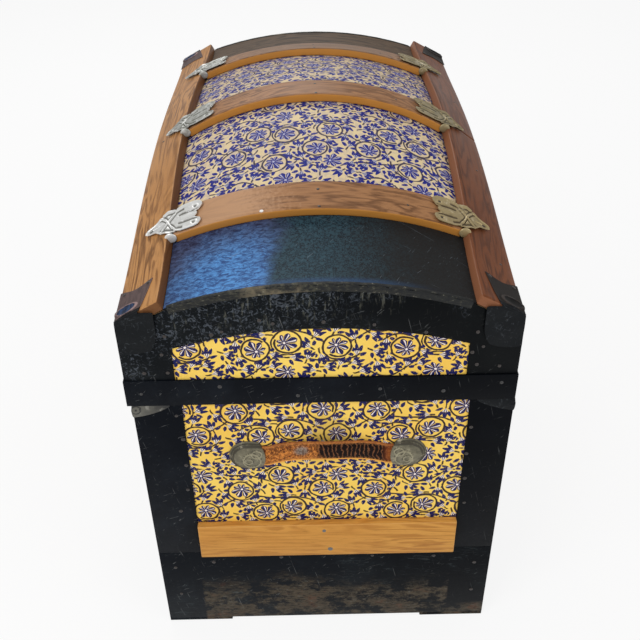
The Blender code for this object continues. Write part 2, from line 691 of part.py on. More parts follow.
def build_slat_end_caps():
    """A folded cap over each end of the edge slats, with a tongue down the end of the lid."""
    low = CORNER_HEIGHT + EDGE_SLAT_THICK - END_CAP_TONGUE
    for end_name, end in (("right", 1), ("left", -1)):
        for side_name, side in (("front", -1), ("back", 1)):
            grids = []
            for proud in (GAP + END_CAP_THICK, GAP):
                face = HALF_LENGTH + proud
                lift = slope_normal(HALF_LENGTH, side) * (EDGE_SLAT_THICK + proud)
                rows = []
                for x in (HALF_LENGTH - END_CAP_LENGTH, face):
                    place = min(x, HALF_LENGTH) * end
                    outer = edge_slat_row(place, side)[1] + lift
                    inner = bevel_point(place, side, END_CAP_INNER_PLACE, SEAT_LIFT) + lift
                    rows.append([Vector((x * end, inner.y, inner.z)), Vector((x * end, outer.y, outer.z))])
                reaches = (TONGUE_INNER_PLACE, LID_HALF - EDGE_SLAT_INSET)
                rows.append([Vector((face * end, LID_SHIFT + side * reach, low)) for reach in reaches])
                grids.append(rows)
            mesh = bmesh.new()
            add_plate(mesh, *grids)
            add_piece(f"slat_end_cap_{side_name}_{end_name}", mesh, "black_sheet", "lid_pivot")


def build_hinges():
    """Two strap hinges: the chest's leaf has the pin and two knuckles, the lid's leaf the middle one."""
    leaf_low = BODY_HALF + GAP
    leaf_high = leaf_low + HINGE_LEAF_THICK
    edge = KNUCKLE_RADIUS + FIT_CLEARANCE
    half = HINGE_WIDTH / 2
    third = HINGE_WIDTH / 3
    for name, place in (("right", HINGE_PLACE), ("left", -HINGE_PLACE)):
        spans = ((place - half, place - third / 2), (place + third / 2, place + half))
        leaf = (place, half, leaf_low, leaf_high, edge)
        piece = add_leaf("hinge_leaf_chest_" + name, leaf, spans, -1, None)
        pin = bmesh.new()
        add_cylinder(pin, (place - half, HINGE_AXIS_Y, SEAM_HEIGHT), PIN_RADIUS, 0, HINGE_WIDTH)
        combine(piece, pin, "UNION")
        spans = ((place - third / 2, place + third / 2),)
        piece = add_leaf("hinge_leaf_lid_" + name, leaf, spans, 1, "lid_pivot")
        bore = bmesh.new()
        radius = PIN_RADIUS + PIN_CLEARANCE
        add_cylinder(bore, (place - half, HINGE_AXIS_Y, SEAM_HEIGHT), radius, 0, HINGE_WIDTH)
        combine(piece, bore, "DIFFERENCE")


def add_leaf(name, leaf, spans, up, pivot):
    place, half, leaf_low, leaf_high, edge = leaf
    low, high = sorted((SEAM_HEIGHT + up * edge, SEAM_HEIGHT + up * HINGE_LEAF_HEIGHT))
    mesh = bmesh.new()
    seat = leaf_low if up > 0 else SIDE_SEAT
    add_box(mesh, (place - half, seat, low), (place + half, leaf_high, high))
    piece = add_piece(name, mesh, "iron", pivot)
    for first, last in spans:
        start = first + KNUCKLE_GAP / 2
        end = last - KNUCKLE_GAP / 2
        near, far = sorted((SEAM_HEIGHT + up * KNUCKLE_RADIUS / 2, SEAM_HEIGHT + up * edge * 2))
        neck = bmesh.new()
        add_box(neck, (start, leaf_low, near), (end, leaf_high, far))
        combine(piece, neck, "UNION")
        barrel = bmesh.new()
        add_cylinder(barrel, (start, HINGE_AXIS_Y, SEAM_HEIGHT), KNUCKLE_RADIUS, 0, end - start)
        combine(piece, barrel, "UNION")
    return piece


def build_lock():
    front = -SIDE_SEAT
    face = front - LOCK_THICK
    half = LOCK_WIDTH / 2
    low = LOCK_TOP - LOCK_HEIGHT
    mesh = bmesh.new()
    margin = LOCK_PLATE_MARGIN
    plate_front = front - LOCK_PLATE_THICK
    add_box(mesh, (-half - margin, plate_front, low - margin), (half + margin, front, LOCK_TOP + margin))
    piece = add_piece("lock_housing", mesh, "brass")
    body = bmesh.new()
    add_box(body, (-half, face, low), (half, front - LOCK_PLATE_THICK / 2, LOCK_TOP))
    combine(piece, body, "UNION")
    hasp_back = HASP_AXIS_Y + HASP_THICK / 2
    staple_end = hasp_back + STAPLE_REACH
    notch_half = STAPLE_HALF_WIDTH + NOTCH_CLEARANCE
    notch = bmesh.new()
    notch_low = STAPLE_TOP - STAPLE_HEIGHT - NOTCH_CLEARANCE
    notch_high = LOCK_TOP + margin
    notch_back = staple_end + FIT_CLEARANCE
    add_box(notch, (-notch_half, face - margin, notch_low), (notch_half, notch_back, notch_high))
    combine(piece, notch, "DIFFERENCE")
    middle_y = (hasp_back + staple_end) / 2
    middle_z = STAPLE_TOP - STAPLE_HEIGHT / 2
    bolt_start = notch_half + FIT_CLEARANCE * 2
    deep = BOLT_THICK / 2
    tall = BOLT_HEIGHT / 2
    room = BOLT_CLEARANCE
    channel = bmesh.new()
    channel_low = (bolt_start - BOLT_TRAVEL - NOTCH_CLEARANCE, middle_y - deep - room, middle_z - tall - room)
    channel_high = (bolt_start + BOLT_LENGTH + room, middle_y + deep + room, middle_z + tall + room)
    add_box(channel, channel_low, channel_high)
    combine(piece, channel, "DIFFERENCE")
    bolt = bmesh.new()
    bolt_low = (bolt_start, middle_y - deep, middle_z - tall)
    add_box(bolt, bolt_low, (bolt_start + BOLT_LENGTH, middle_y + deep, middle_z + tall))
    add_piece("lock_bolt", bolt, "iron", "bolt_pivot")
    build_hasp(hasp_back, staple_end, middle_y, middle_z)


def build_hasp(hasp_back, staple_end, middle_y, middle_z):
    """The swinging hasp with its staple, and the plate on the lid band that carries it."""
    half = HASP_WIDTH / 2
    third = HASP_WIDTH / 3
    edge = HASP_KNUCKLE_RADIUS + FIT_CLEARANCE
    hasp_front = hasp_back - HASP_THICK
    low = STAPLE_TOP - STAPLE_HEIGHT - HASP_TIP_LENGTH
    mesh = bmesh.new()
    add_box(mesh, (-half, hasp_front, low), (half, hasp_back, HASP_PIVOT_HEIGHT - edge))
    piece = add_piece("hasp", mesh, "brass", "hasp_pivot")
    neck = bmesh.new()
    neck_half = third / 2 - KNUCKLE_GAP
    neck_low = HASP_PIVOT_HEIGHT - 2 * edge
    add_box(neck, (-neck_half, hasp_front, neck_low), (neck_half, hasp_back, HASP_PIVOT_HEIGHT))
    combine(piece, neck, "UNION")
    barrel = bmesh.new()
    axis_start = (-neck_half, HASP_AXIS_Y, HASP_PIVOT_HEIGHT)
    add_cylinder(barrel, axis_start, HASP_KNUCKLE_RADIUS, 0, 2 * neck_half)
    combine(piece, barrel, "UNION")
    staple = bmesh.new()
    staple_low = (-STAPLE_HALF_WIDTH, hasp_back - HASP_THICK / 2, STAPLE_TOP - STAPLE_HEIGHT)
    add_box(staple, staple_low, (STAPLE_HALF_WIDTH, staple_end, STAPLE_TOP))
    combine(piece, staple, "UNION")
    holes = bmesh.new()
    deep = BOLT_THICK / 2 + BOLT_CLEARANCE
    tall = BOLT_HEIGHT / 2 + BOLT_CLEARANCE
    wide = STAPLE_HALF_WIDTH * 2
    add_box(holes, (-wide, middle_y - deep, middle_z - tall), (wide, middle_y + deep, middle_z + tall))
    bore_start = (-half, HASP_AXIS_Y, HASP_PIVOT_HEIGHT)
    add_cylinder(holes, bore_start, PIN_RADIUS + PIN_CLEARANCE, 0, HASP_WIDTH)
    combine(piece, holes, "DIFFERENCE")

    plate_back = LID_FRONT_FACE - GAP
    plate_front = plate_back - HASP_PLATE_THICK
    plate_low = HASP_PIVOT_HEIGHT - HASP_PLATE_HEIGHT + edge
    mesh = bmesh.new()
    add_box(mesh, (-half, plate_front, plate_low), (half, plate_back, HASP_PIVOT_HEIGHT + edge))
    piece = add_piece("hasp_plate", mesh, "brass", "lid_pivot")
    for side in (-1, 1):
        near, far = sorted((side * (neck_half + KNUCKLE_GAP), side * half))
        arm = bmesh.new()
        arm_reach = HASP_KNUCKLE_RADIUS * HASP_ARM_share
        arm_low = (near, HASP_AXIS_Y, HASP_PIVOT_HEIGHT - arm_reach)
        add_box(arm, arm_low, (far, plate_front + HASP_PLATE_THICK / 2, HASP_PIVOT_HEIGHT + arm_reach))
        combine(piece, arm, "UNION")
        barrel = bmesh.new()
        add_cylinder(barrel, (near, HASP_AXIS_Y, HASP_PIVOT_HEIGHT), HASP_KNUCKLE_RADIUS, 0, far - near)
        combine(piece, barrel, "UNION")
    pin = bmesh.new()
    add_cylinder(pin, bore_start, PIN_RADIUS, 0, HASP_WIDTH)
    combine(piece, pin, "UNION")


def build_tray():
    """A lift-out tray on two cleats: its floor, and the frame that stands on it."""
    cleat_top = TRAY_BOTTOM - GAP
    cleat_end = LENGTH_INSIDE - CLEAT_SETBACK
    for name, side in (("tray_cleat_front", -1), ("tray_cleat_back", 1)):
        near, far = sorted((side * (BODY_INSIDE - GAP), side * (BODY_INSIDE - GAP - CLEAT_REACH)))
        mesh = bmesh.new()
        add_box(mesh, (-cleat_end, near, cleat_top - CLEAT_HEIGHT), (cleat_end, far, cleat_top))
        add_piece(name, mesh, "pine")
    width = TRAY_HALF_WIDTH
    length = TRAY_HALF_LENGTH
    mesh = bmesh.new()
    add_box(mesh, (-length, -width, TRAY_BOTTOM), (length, width, TRAY_BOTTOM + TRAY_FLOOR))
    add_piece("tray_floor", mesh, "pine", "tray_pivot")
    mesh = bmesh.new()
    add_band(mesh, length, width, TRAY_WALL, TRAY_BOTTOM + TRAY_FLOOR + GAP, TRAY_TOP)
    add_piece("tray_frame", mesh, "pine", "tray_pivot")


def centre_trunk():
    """Moves the trunk so that the origin is below the middle of its overall length and width."""
    for item in bpy.data.objects:
        if not item.parent:
            item.location.y += CENTRE_SHIFT


def build_trunk():
    clear_scene()
    add_pivot("lid_pivot", (0, HINGE_AXIS_Y, SEAM_HEIGHT))
    add_pivot("hasp_pivot", (0, HASP_AXIS_Y, HASP_PIVOT_HEIGHT), "lid_pivot")
    add_pivot("bolt_pivot", (0, -SIDE_SEAT, STAPLE_TOP - STAPLE_HEIGHT / 2))
    add_pivot("tray_pivot", (0, 0, TRAY_BOTTOM))
    build_chest_boards()
    build_chest_bindings()
    build_wall_slats()
    build_handles()
    build_lid_boards()
    build_lid_ends()
    build_lid_coverings()
    build_lid_slats()
    build_clamps()
    build_slat_end_caps()
    build_hinges()
    build_lock()
    build_tray()
    centre_trunk()


build_trunk()
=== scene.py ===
import functools
import json
import math
from collections import namedtuple

import bpy
from mathutils import Matrix, Vector

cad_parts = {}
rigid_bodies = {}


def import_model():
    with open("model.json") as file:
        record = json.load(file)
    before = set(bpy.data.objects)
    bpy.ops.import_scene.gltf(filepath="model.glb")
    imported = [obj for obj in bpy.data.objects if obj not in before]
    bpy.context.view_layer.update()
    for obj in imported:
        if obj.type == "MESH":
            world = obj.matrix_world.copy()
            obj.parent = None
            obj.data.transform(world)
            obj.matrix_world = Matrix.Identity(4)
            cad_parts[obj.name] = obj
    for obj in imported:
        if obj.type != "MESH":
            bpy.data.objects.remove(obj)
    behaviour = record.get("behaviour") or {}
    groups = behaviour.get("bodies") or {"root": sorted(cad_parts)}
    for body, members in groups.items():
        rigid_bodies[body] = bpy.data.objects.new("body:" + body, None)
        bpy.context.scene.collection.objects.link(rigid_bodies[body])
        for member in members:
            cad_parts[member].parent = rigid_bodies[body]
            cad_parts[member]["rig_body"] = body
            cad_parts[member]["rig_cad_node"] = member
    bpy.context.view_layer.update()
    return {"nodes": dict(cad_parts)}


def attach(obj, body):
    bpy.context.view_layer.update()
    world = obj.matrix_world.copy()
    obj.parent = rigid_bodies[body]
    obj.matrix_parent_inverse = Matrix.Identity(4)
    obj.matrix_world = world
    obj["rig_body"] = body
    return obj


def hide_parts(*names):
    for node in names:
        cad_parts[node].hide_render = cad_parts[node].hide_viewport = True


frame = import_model()
nodes = frame["nodes"]

# Trunk sizes, the same as in the frame
HALF_LENGTH = 0.3835
SHIFT = 0.0034
LID_SHIFT = SHIFT - 0.00275
LID_HALF = 0.227
SEAM = 0.421
SHEET = 0.0015
END_WALL = 0.382
STRIP_FACE = 0.22575
SLAT_THICK = 0.0135
SLAT_REACH = 0.2193
BENT_HALF = 0.0245
BENT_SHARE = 0.985
BENT_RISE = 0.0100
SLAT_PLACES = {"left": -0.2395, "middle": 0.0, "right": 0.2395}
ENDS = {"right": 1, "left": -1}
SIDES = {"front": -1, "back": 1}
UP = Vector((0, 0, 1))


# Shader sums

class Channel:
    """A number that changes over a surface. Sums written with it become Math nodes."""

    def __init__(self, finish, socket):
        self.finish = finish
        self.socket = socket

    def __add__(self, other):
        return self.finish.math("ADD", self, other)

    def __sub__(self, other):
        return self.finish.math("SUBTRACT", self, other)

    def __rsub__(self, other):
        return self.finish.math("SUBTRACT", other, self)

    def __mul__(self, other):
        return self.finish.math("MULTIPLY", self, other)

    def __truediv__(self, other):
        return self.finish.math("DIVIDE", self, other)

    def __pow__(self, other):
        return self.finish.math("POWER", self, other)

    def __abs__(self):
        return self.finish.math("ABSOLUTE", self)

    __radd__ = __add__
    __rmul__ = __mul__


class Finish:
    """One material and the nodes that make it."""

    def __init__(self, name, roughness=0.5, metallic=0.0):
        self.material = bpy.data.materials.new(name)
        self.material.use_nodes = True
        self.tree = self.material.node_tree
        self.shader = self.tree.nodes["Principled BSDF"]
        self.shader.inputs["Roughness"].default_value = roughness
        self.shader.inputs["Metallic"].default_value = metallic
        self.place = self.node("ShaderNodeTexCoord", out="Object")

    def node(self, kind, settings=None, inputs=None, out=0):
        made = self.tree.nodes.new(kind)
        for key, value in (settings or {}).items():
            setattr(made, key, value)
        for key, value in (inputs or {}).items():
            self.join(value, made.inputs[key])
        return Channel(self, made.outputs[out])

    def join(self, value, socket):
        if isinstance(value, Channel):
            self.tree.links.new(value.socket, socket)
        elif value is not None:
            socket.default_value = value

    def math(self, operation, *values):
        return self.node("ShaderNodeMath", {"operation": operation}, dict(enumerate(values)))

    def vector(self, operation, *values, out=0):
        return self.node("ShaderNodeVectorMath", {"operation": operation}, dict(enumerate(values)), out)

    def split(self, vector):
        made = self.tree.nodes.new("ShaderNodeSeparateXYZ")
        self.join(vector, made.inputs[0])
        return [Channel(self, socket) for socket in made.outputs]

    def combine(self, x, y):
        return self.node("ShaderNodeCombineXYZ", None, {0: x, 1: y})

    def marked(self, name):
        """The number that a piece's points carry under this name."""
        return self.node("ShaderNodeAttribute", {"attribute_name": name}, None, "Fac")

    def step(self, value, low, high):
        """Rises smoothly from 0 at low to 1 at high, or falls where low is the higher one."""
        if low > high:
            return 1 - self.step(value, high, low)
        inputs = {"Value": value, "From Min": low, "From Max": high}
        return self.node("ShaderNodeMapRange", {"interpolation_type": "SMOOTHSTEP"}, inputs)

    def below(self, value, limit, soft):
        """1 under the limit and 0 over it, with a soft edge."""
        return self.step(value - limit, soft, -soft)

    def larger(self, *values):
        return functools.reduce(functools.partial(self.math, "MAXIMUM"), values)

    def smaller(self, first, second):
        return self.math("MINIMUM", first, second)

    def length(self, x, y):
        return self.math("SQRT", x * x + y * y)

    def noise(self, scale, detail=3.0, roughness=0.5, stretch=None, distortion=0.0, place=None):
        place = place or self.place
        if stretch:
            place = self.vector("MULTIPLY", place, stretch)
        inputs = {"Vector": place, "Scale": scale, "Detail": detail, "Roughness": roughness}
        inputs["Distortion"] = distortion
        return self.node("ShaderNodeTexNoise", None, inputs)

    def mix(self, share, first, second):
        """A colour between two colours."""
        colours = [(*value, 1) if isinstance(value, tuple) else value for value in (first, second)]
        settings = {"data_type": "RGBA", "clamp_factor": True}
        return self.node("ShaderNodeMix", settings, {0: share, 6: colours[0], 7: colours[1]}, 2)

    def choose(self, share, first, second):
        """A vector between two vectors."""
        return self.node("ShaderNodeMix", {"data_type": "VECTOR"}, {0: share, 4: first, 5: second}, 1)

    def spots(self, colour, spots, grain):
        """Ragged spots over a colour, each given by its centre, radius, shade and strength."""
        for centre, radius, shade, strength in spots:
            away = self.vector("DISTANCE", self.place, centre, out="Value")
            ragged = away + (self.noise(grain, 2.0) - 0.5) * radius
            colour = self.mix(self.below(ragged, radius, radius * 0.4) * strength, colour, shade)
        return colour

    def coat(self, colour, height, depth, strength, roughness=None, specular=None):
        """Joins the colour, the fine relief and the gloss to the shader, and gives the material."""
        bump = {"Height": height, "Distance": depth, "Strength": strength}
        values = {"Base Color": colour, "Roughness": roughness, "Specular IOR Level": specular,
                  "Normal": self.node("ShaderNodeBump", None, bump)}
        for socket, value in values.items():
            self.join(value, self.shader.inputs[socket])
        return self.material


def times(colour, share):
    """A colour made darker or lighter all over."""
    return tuple(part * share for part in colour)


# The printed paper

REPEAT = (0.170, 0.136)
# Flowers: place across and up the paper, in mm, the ring round it (0 for none) and how far it is turned
FLOWERS = [(0, 0, 17, 20), (67, -3, 17, 75), (-37, -34, 15.5, 200), (20, -41, 17, 130),
           (-74, -44, 15.5, 310), (-52, -112, 16, 260), (-40, -79, 0, 40), (21, -112, 0, 160)]
BARE_FLOWER = 11
SPRIG_CLEAR = 15.4
FLOWER_CLEAR = 5.4
SPRIG_SIZE = 1.24
RINGED = 1000
CODE = 1e-6
STROKE = 0.00128
CRISP = 0.0002
VINES = ((0.024, 0.012, 0.6), (0.070, 0.014, 2.2), (0.114, 0.011, 4.1))


def paper_gap(first, second):
    """How far apart two motifs are, in mm, across the edges of the repeat too."""
    wide, high = REPEAT[0] * 1000, REPEAT[1] * 1000
    across = (first[0] - second[0] + wide / 2) % wide - wide / 2
    up = (first[1] - second[1] + high / 2) % high - high / 2
    return math.hypot(across, up)


def has_room(place, sprigs):
    """Whether a sprig may stand at a place, clear of the flowers and of the other sprigs."""
    if any(paper_gap(place, flower) < (flower[2] or BARE_FLOWER) + FLOWER_CLEAR for flower in FLOWERS):
        return False
    return all(paper_gap(place, sprig) > SPRIG_CLEAR for sprig in sprigs)


def place_sprigs():
    """Sprigs stand round each flower, wherever there is room."""
    sprigs = []
    for reach in range(23, 64, 4):
        for x, y, _, turn in FLOWERS:
            for step in range(12):
                angle = math.radians(turn + step * 30)
                place = (x + reach * math.cos(angle), y + reach * math.sin(angle))
                if has_room(place, sprigs):
                    sprigs.append((*place, (turn + step * 30 + 70 + (step % 3) * 40) % 360))
    return sprigs


def nearest(finish, across, up, motifs):
    """The nearest motif's own coordinates, what its third number codes, and its distance."""
    here = finish.combine(across, up)
    half = (REPEAT[0] / 2, REPEAT[1] / 2, 1.0)
    best = None
    for x, y, code in motifs:
        offset = finish.vector("SUBTRACT", here, (x / 1000, y / 1000, -code * CODE))
        offset = finish.vector("WRAP", offset, half, times(half, -1))
        length = finish.vector("LENGTH", offset, out="Value")
        if best is None:
            best = (offset, length)
            continue
        closer = finish.math("LESS_THAN", length, best[1])
        best = (finish.choose(closer, best[0], offset), finish.smaller(length, best[1]))
    x, y, code = finish.split(best[0])
    return x, y, code * (1 / CODE), finish.length(x, y)


def daisies(finish, across, up, press):
    """A daisy's blue and pale parts, the line that curls round it and runs off, and the clear ground."""
    flowers = [(x, y, turn + (RINGED if ring else 0)) for x, y, ring, turn in FLOWERS]
    x, y, code, reach = nearest(finish, across, up, flowers)
    ringed = finish.step(code, 700.0, 800.0)
    turn = finish.math("MODULO", code, RINGED) * (math.pi / 180)
    share = finish.math("FRACT", (finish.math("ARCTAN2", y, x) + turn) / math.tau + 1.0)
    ring = finish.below(abs(reach - share * 0.0032 - 0.0143), STROKE + press, CRISP) * ringed
    run_off = (share * 3.2) ** 2.0 * 0.011 + 0.0175
    tail = finish.below(abs(reach - run_off), STROKE + press, CRISP)
    tail = tail * finish.below(share, 0.30, 0.01) * ringed

    heart_x = x - finish.math("COSINE", turn) * 0.0032
    heart_y = y - finish.math("SINE", turn) * 0.0032
    heart_reach = finish.length(heart_x, heart_y)
    petal_share = finish.math("FRACT", finish.math("ARCTAN2", heart_y, heart_x) * (8 / math.tau) + 8.0)
    from_middle = abs(petal_share - 0.5) * 2.0
    outline = 0.0126 - from_middle ** 1.6 * 0.0042 + press * 2.0
    inside = finish.below(reach, outline, CRISP)
    white = finish.below(abs(petal_share - 0.34), 0.088, 0.03) * finish.step(heart_reach, 0.0022, 0.0030)
    white = white * finish.below(reach, outline - 0.0012, 0.0004)
    pale = finish.larger(white, finish.below(heart_reach, 0.0016, CRISP)) * inside
    parting = finish.step(from_middle, 0.86, 0.93) * finish.step(heart_reach, 0.004, 0.005)
    blue = inside * (1 - pale) * (1 - parting)
    clear = 1 - finish.below(reach, 0.0170 * ringed + 0.0135 * (1 - ringed), CRISP)
    return ring, tail, pale, blue, clear


def sprig_parts(finish, across, up, press):
    """A sprig: a flared head with a striped throat, two leaves and a bent stem."""
    x, y, turn, reach = nearest(finish, across, up, place_sprigs())
    facing = finish.math("ARCTAN2", y, x) - turn * (math.pi / 180)
    facing = finish.math("WRAP", facing, math.pi, -math.pi)
    out = reach * finish.math("COSINE", facing) / SPRIG_SIZE + 0.0060
    side = reach * finish.math("SINE", facing) / SPRIG_SIZE
    spread = finish.math("ARCTAN2", side, out)
    far = finish.length(out, side)
    fan = finish.below(abs(spread), 0.62, 0.02)
    lobe = abs(finish.math("WRAP", spread, 0.21, -0.21)) / 0.21
    limit = 0.0156 - lobe ** 1.3 * 0.0056 - spread * spread * 0.0066 + press
    tip = finish.below(far, limit, CRISP) * finish.step(far, 0.0066, 0.0074) * fan
    throat = finish.below(far, 0.0070, CRISP) * finish.step(far, 0.0012, 0.0016)
    throat = throat * finish.below(abs(spread), far * 55.0 + 0.14, 0.02) * fan
    stripes = finish.step(finish.math("COSINE", spread * 20.0), -0.2, 0.1)
    beside = abs(abs(spread) - 1.12) / 0.34
    leaf = finish.below(far, 0.0106 - finish.smaller(beside, 1.0) ** 1.2 * 0.0050, CRISP)
    leaf = leaf * finish.below(beside, 0.95, 0.05) * finish.step(far, 0.0030, 0.0036)
    behind = finish.smaller(out, 0.0)
    stem = finish.below(abs(side - behind * behind * 26.0), 0.00088 + press, 0.0003)
    stem = stem * finish.below(abs(out + 0.004), 0.0058, 0.0003)
    return finish.larger(tip, leaf), throat, stripes, stem


def vine(finish, across, up, press, height, swing, phase):
    """One long line that waves along the paper."""
    wave = finish.math("SINE", across * (math.tau / REPEAT[0]) + phase) * swing
    wave = wave + finish.math("SINE", across * (2 * math.tau / REPEAT[0]) + phase * 2.3) * (swing * 0.45)
    away = finish.math("WRAP", up - height - wave, REPEAT[1] / 2, -REPEAT[1] / 2)
    return finish.below(abs(away), STROKE + press, 0.0003)


def scroll_paper(finish, across, up, ground, ink, petal, light):
    """A scroll of ringed daisies, sprigs and vines, printed over a ground colour."""
    here = finish.combine(across, up)
    across = across + (finish.noise(70.0, 1.0, place=here) - 0.5) * 0.0035
    up = up + (finish.noise(45.0, 1.0, place=here) - 0.5) * 0.0035
    press = (finish.noise(260.0, 2.0, place=here) - 0.5) * 0.0012
    ring, tail, pale, blue, clear = daisies(finish, across, up, press)
    leaves, throat, stripes, stem = sprig_parts(finish, across, up, press)
    vines = finish.larger(*(vine(finish, across, up, press, *each) for each in VINES))
    lines = finish.larger(vines, tail) * (1 - finish.larger(leaves, throat))
    lines = finish.larger(lines, stem, throat * (1 - stripes))
    lines = finish.larger(lines * clear, ring)
    pales = finish.larger(throat * stripes * clear, pale)
    colour = finish.mix(pales * 0.9, ground, light)
    colour = finish.mix(lines * 0.97, colour, ink)
    worn = finish.step(finish.noise(700.0, 2.0, place=here), 0.26, 0.38)
    return finish.mix(finish.larger(leaves * clear, blue) * worn, colour, petal)


def stained(finish, ground, shade):
    """The paper's own colour, darker in clouds."""
    stain = finish.noise(9.0, 4.0, 0.6)
    return finish.mix(finish.step(stain, 0.35, 0.75), ground, shade)


def complete_paper(finish, printed):
    fibre = finish.noise(900.0, 2.0)
    return finish.coat(printed, fibre, 0.0003, 0.25, specular=0.15)


def yellow_paper():
    """Printed paper on the outside of the walls, with three spots, the wide one above the handle partly hand
    dirt and partly the strap's painted shadow, and a plain lining inside.
    """
    finish = Finish("yellow_paper", roughness=0.55)
    x, y, z = finish.split(finish.place)
    on_end = finish.step(abs(x), 0.3795, 0.3805)
    across = y * on_end + x * (1 - on_end)
    outer = finish.larger(on_end, finish.step(abs(y - LID_SHIFT), 0.2185, 0.2195))
    outer = outer * finish.step(abs(z - SEAM), 0.0010, 0.0014)
    ground = stained(finish, (1.0, 0.70, 0.145), (0.95, 0.585, 0.095))
    ink, petal, light = (0.014, 0.007, 0.018), (0.008, 0.011, 0.095), (0.95, 0.88, 0.92)
    printed = scroll_paper(finish, across, z, ground, ink, petal, light)
    # Two small dark spots, and above the handle a wide darker patch, partly hand dirt and partly the strap's
    # painted shadow.
    spots = [((HALF_LENGTH, -0.0286, 0.243), 0.0038, (0.14, 0.06, 0.015), 0.9),
             ((HALF_LENGTH, 0.0764, 0.252), 0.0032, (0.30, 0.14, 0.030), 0.8),
             ((HALF_LENGTH, 0.0080, 0.372), 0.026, (0.10, 0.055, 0.020), 0.25)]
    printed = finish.spots(printed, spots, 260.0)
    lining = (0.52, 0.40, 0.24)
    plain = finish.mix(finish.noise(40.0, 5.0, 0.6), lining, times(lining, 0.75))
    return complete_paper(finish, finish.mix(outer, plain, printed))


def cream_paper():
    """The same print on the dome, lilac in places, browner to the far end, and black under the slats and end
    sheets, painted as shade in the gaps, and along its edge past the slats.
    """
    finish = Finish("cream_paper", roughness=0.55)
    x, y, _ = finish.split(finish.place)
    ground = stained(finish, (0.80, 0.64, 0.36), (0.72, 0.56, 0.33))
    lilac = finish.step(finish.noise(130.0, 3.0, 0.6), 0.45, 0.60)
    far = finish.step(x, -0.02, -0.16)
    ground = finish.mix(lilac * 0.45 + far * 0.10, ground, (0.46, 0.39, 0.41))
    ground = finish.mix(far * 0.35, ground, (0.42, 0.32, 0.20))
    ink, petal, light = (0.030, 0.022, 0.060), (0.007, 0.014, 0.21), (0.44, 0.46, 0.70)
    printed = scroll_paper(finish, y, x, ground, ink, petal, light)
    # Painted black where the paper runs under the slats and the end sheets, as shade in the gaps, and along
    # its edge past the slats.
    bare = finish.larger(finish.step(abs(y - LID_SHIFT), 0.2160, 0.2168), finish.step(abs(x), 0.2555, 0.2565))
    return complete_paper(finish, finish.mix(bare, printed, (0.009, 0.009, 0.010)))


# Metals, wood and leather

def scratches(finish):
    """Thin pale marks that run in three directions."""
    marks = []
    for turn, seed in (((0.4, 0.2, 0.5), 1.0), ((1.7, 0.9, 0.3), 4.0), ((0.9, 2.1, 1.2), 9.0)):
        inputs = {"Vector": finish.place, "Rotation": turn, "Location": (seed, seed, seed)}
        turned = finish.node("ShaderNodeMapping", None, inputs)
        streak = finish.noise(1.0, 2.0, 0.6, (800.0, 16.0, 70.0), place=turned)
        marks.append(finish.step(streak, 0.695, 0.750))
    return finish.larger(*marks)


def crackle_over(finish, colour, cloud, strength):
    """Grey chips at the upper left of the arch, and a worn fringe along its top."""
    _, y, z = finish.split(finish.place)
    cells = finish.noise(150.0, 5.0, 0.75, None, 1.6)
    upper_left = finish.step(cloud + (z - 0.53) * 4.0 - y * 1.3, 0.44, 0.66)
    chips = finish.step(cells, 0.53, 0.60) * upper_left
    colour = finish.mix(chips * strength, colour, (0.085, 0.098, 0.118))
    streak = finish.noise(1.0, 4.0, 0.7, (300.0, 210.0, 36.0))
    fringe = finish.step(streak, 0.56, 0.66) * finish.step(cloud * 0.16 + z, 0.612, 0.640)
    return finish.mix(fringe * finish.step(y, 0.17, 0.02) * 0.35, colour, (0.20, 0.20, 0.16))


def rust_over(finish, colour, cloud, top):
    """Rust low on the sheet, off the corner strips, with bare metal in it and pale wisps over all."""
    _, y, z = finish.split(finish.place)
    height = z + (cloud - 0.5) * 0.10
    flake = finish.noise(21.0, 7.0, 0.80, (1.0, 0.8, 1.5))
    crumb = finish.noise(170.0, 5.0, 0.78, (1.0, 0.55, 1.7))
    from_middle = y - SHIFT
    on_strip = finish.step(abs(from_middle), 0.170, 0.174)
    on_strip = on_strip * finish.step(z - from_middle * 0.14, -0.012, 0.004)
    rust = finish.step(height, top, top * 0.45) * finish.step(flake, 0.44, 0.54)
    rust = rust * finish.step(crumb, 0.32, 0.54) * (1 - on_strip)
    hue = finish.mix(finish.step(flake, 0.56, 0.66), (0.090, 0.070, 0.046), (0.125, 0.062, 0.036))
    colour = finish.mix(rust * 0.85, colour, hue)
    bare = finish.step(height, top * 1.2, top * 0.5) * finish.step(crumb, 0.56, 0.66)
    bare = bare * finish.step(flake, 0.40, 0.55) * (1 - on_strip)
    colour = finish.mix(bare * 0.6, colour, (0.13, 0.135, 0.12))
    wisp = finish.noise(1.0, 5.0, 0.75, (60.0, 30.0, 190.0), 1.5)
    wisps = finish.step(wisp, 0.56, 0.70) * finish.step(cloud, 0.44, 0.58)
    return finish.mix(wisps * 0.55, colour, (0.075, 0.095, 0.100))


